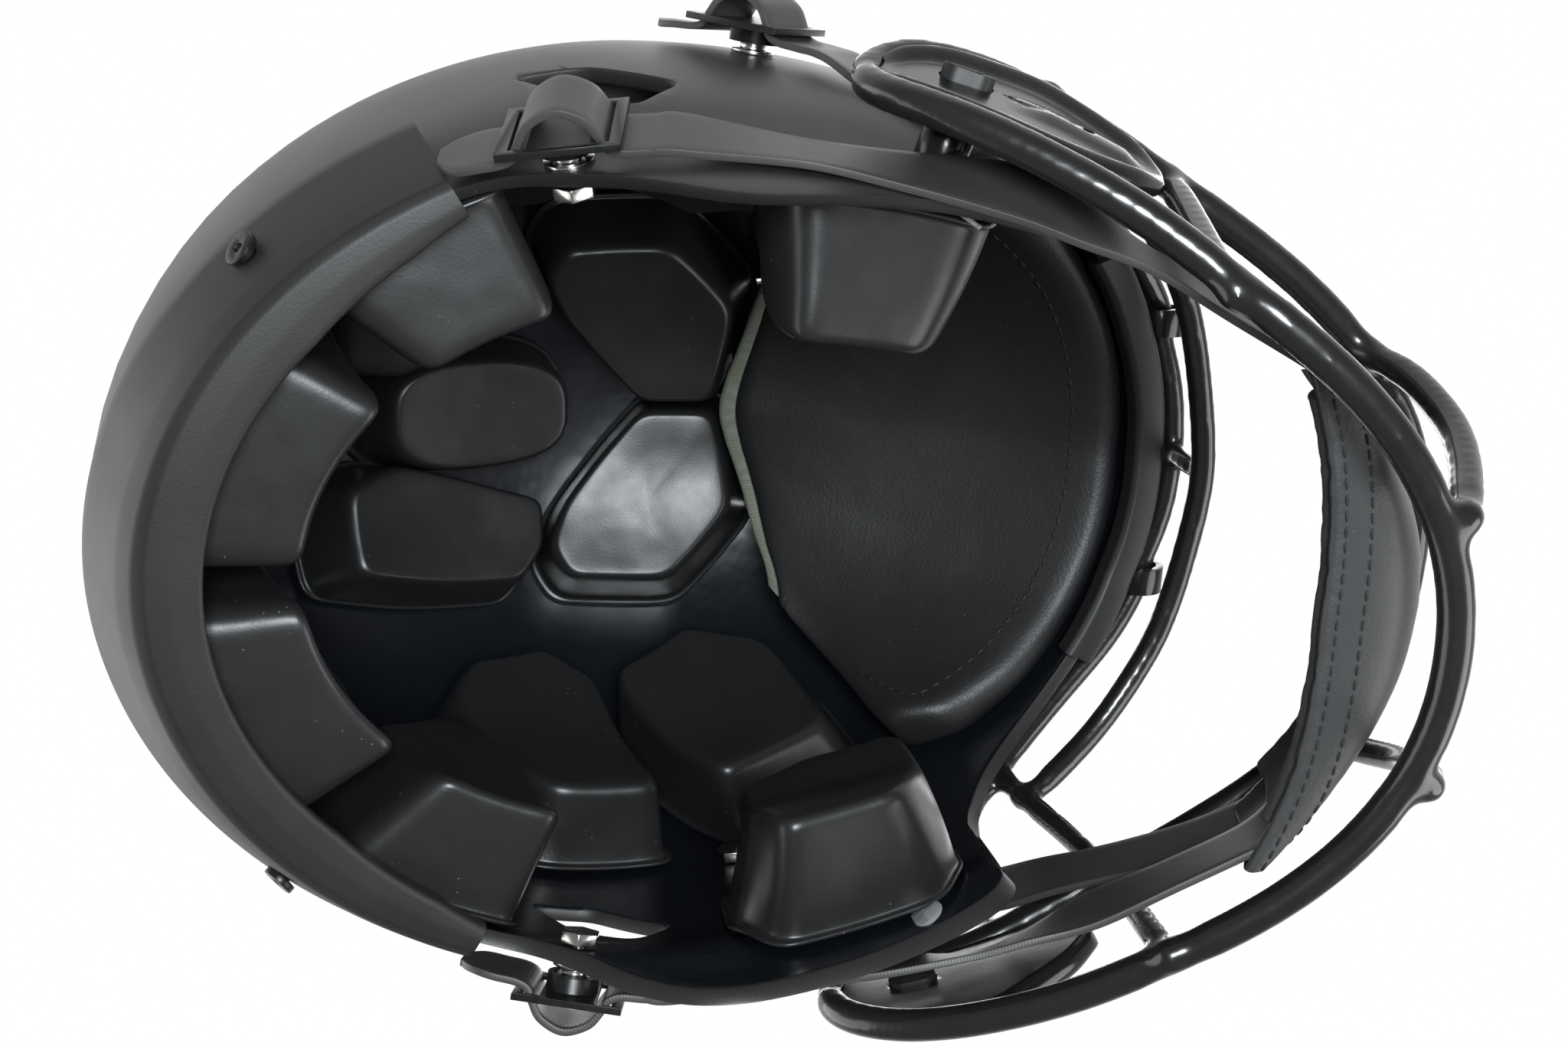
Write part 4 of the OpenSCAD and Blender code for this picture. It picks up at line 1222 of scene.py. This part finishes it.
# Hard pieces that keep their form, each with the round of its edges in millimetres
CRISP = {"brow_clips": 0.5, "side_clip_bosses": 0.4, "snap_studs": 0.15, "stud_nuts": 0.3,
    "lower_buckles": 0.35, "upper_buckles": 0.35, "rear_bumper_screws": 0.25, "front_bumper_screws": 0.25,
    "brow_clip_screws": 0.25, "jaw_pad_snaps": 0.3}
for node, edge_mm in CRISP.items():
    crisp_copy(node, edge_mm)
for node in ("release_button_left", "release_button_right"):
    button = crisp_copy(node, 1.2, 4)
    button.data.materials[0] = BUTTON_SATIN


# Floor under the helmet, open to the camera, to reflections and to the lamps from below
def floor():
    ground = primitive(bpy.ops.mesh.primitive_plane_add, "floor", size=6, location=(0, 0, 0))
    made = Finish("pale_floor")
    matte = made.node("ShaderNodeBsdfPrincipled", inputs={"Base Color": (0.80, 0.80, 0.80), "Roughness": 0.9})
    open_air = made.node("ShaderNodeBsdfTransparent")
    from_below = made.node("ShaderNodeNewGeometry", output="Backfacing")
    unseen = (made.ray("Camera") * from_below).most(made.ray("Shadow")).most(made.ray("Glossy"))
    made.finish_with(made.node("ShaderNodeMixShader", inputs={0: unseen, 1: matte, 2: open_air}))
    ground.data.materials.append(made.material)


# White to the camera, and softer as a light. Reflections meet it dim from below and white from above.
def world():
    sky = bpy.data.worlds.new("studio")
    sky.use_nodes = True
    made = Graph(sky.node_tree)
    height = made.part(made.node("ShaderNodeTexCoord", output="Generated"), 2)
    ramp = {"Value": height, "From Min": -0.1, "From Max": 0.8, "To Min": 0.18}
    above = made.node("ShaderNodeMapRange", inputs=ramp)
    mirrored = made.ray("Glossy").most(made.ray("Transmission")) * above
    plain = made.ray("Glossy") * -0.28 + 0.28
    background = made.tree.nodes["Background"]
    made.tree.links.new(made.ray("Camera").most(mirrored).most(plain).socket, background.inputs["Strength"])
    background.inputs["Color"].default_value = (1, 1, 1, 1)
    bpy.context.scene.world = sky


# Sizes and places are in millimetres here
def lamp(name, place, target, width, height, power, tint=(1, 1, 1)):
    light = bpy.data.lights.new(name, "AREA")
    light.shape = "ELLIPSE"
    light.size = width * MM
    light.size_y = height * MM
    light.energy = power
    light.color = tint
    made = placed(name, light)
    aim = (Vector(target) - Vector(place)) * MM
    made.rotation_euler = aim.to_track_quat("-Z", "Y").to_euler()
    made.location = Vector(place) * MM


floor()
world()
lamp("flash_below", (-250, -110, -600), (0, 0, 130), 270, 270, 6.5, (0.90, 0.96, 1))
lamp("window_front", (300, -900, -300), (0, 0, 110), 900, 600, 5)
lamp("key_above", (150, -150, 1350), (0, 0, 110), 1400, 1400, 11)
lamp("fill_rear", (750, 2850, 230), (0, 0, 110), 3900, 3900, 72, (1, 0.985, 0.95))
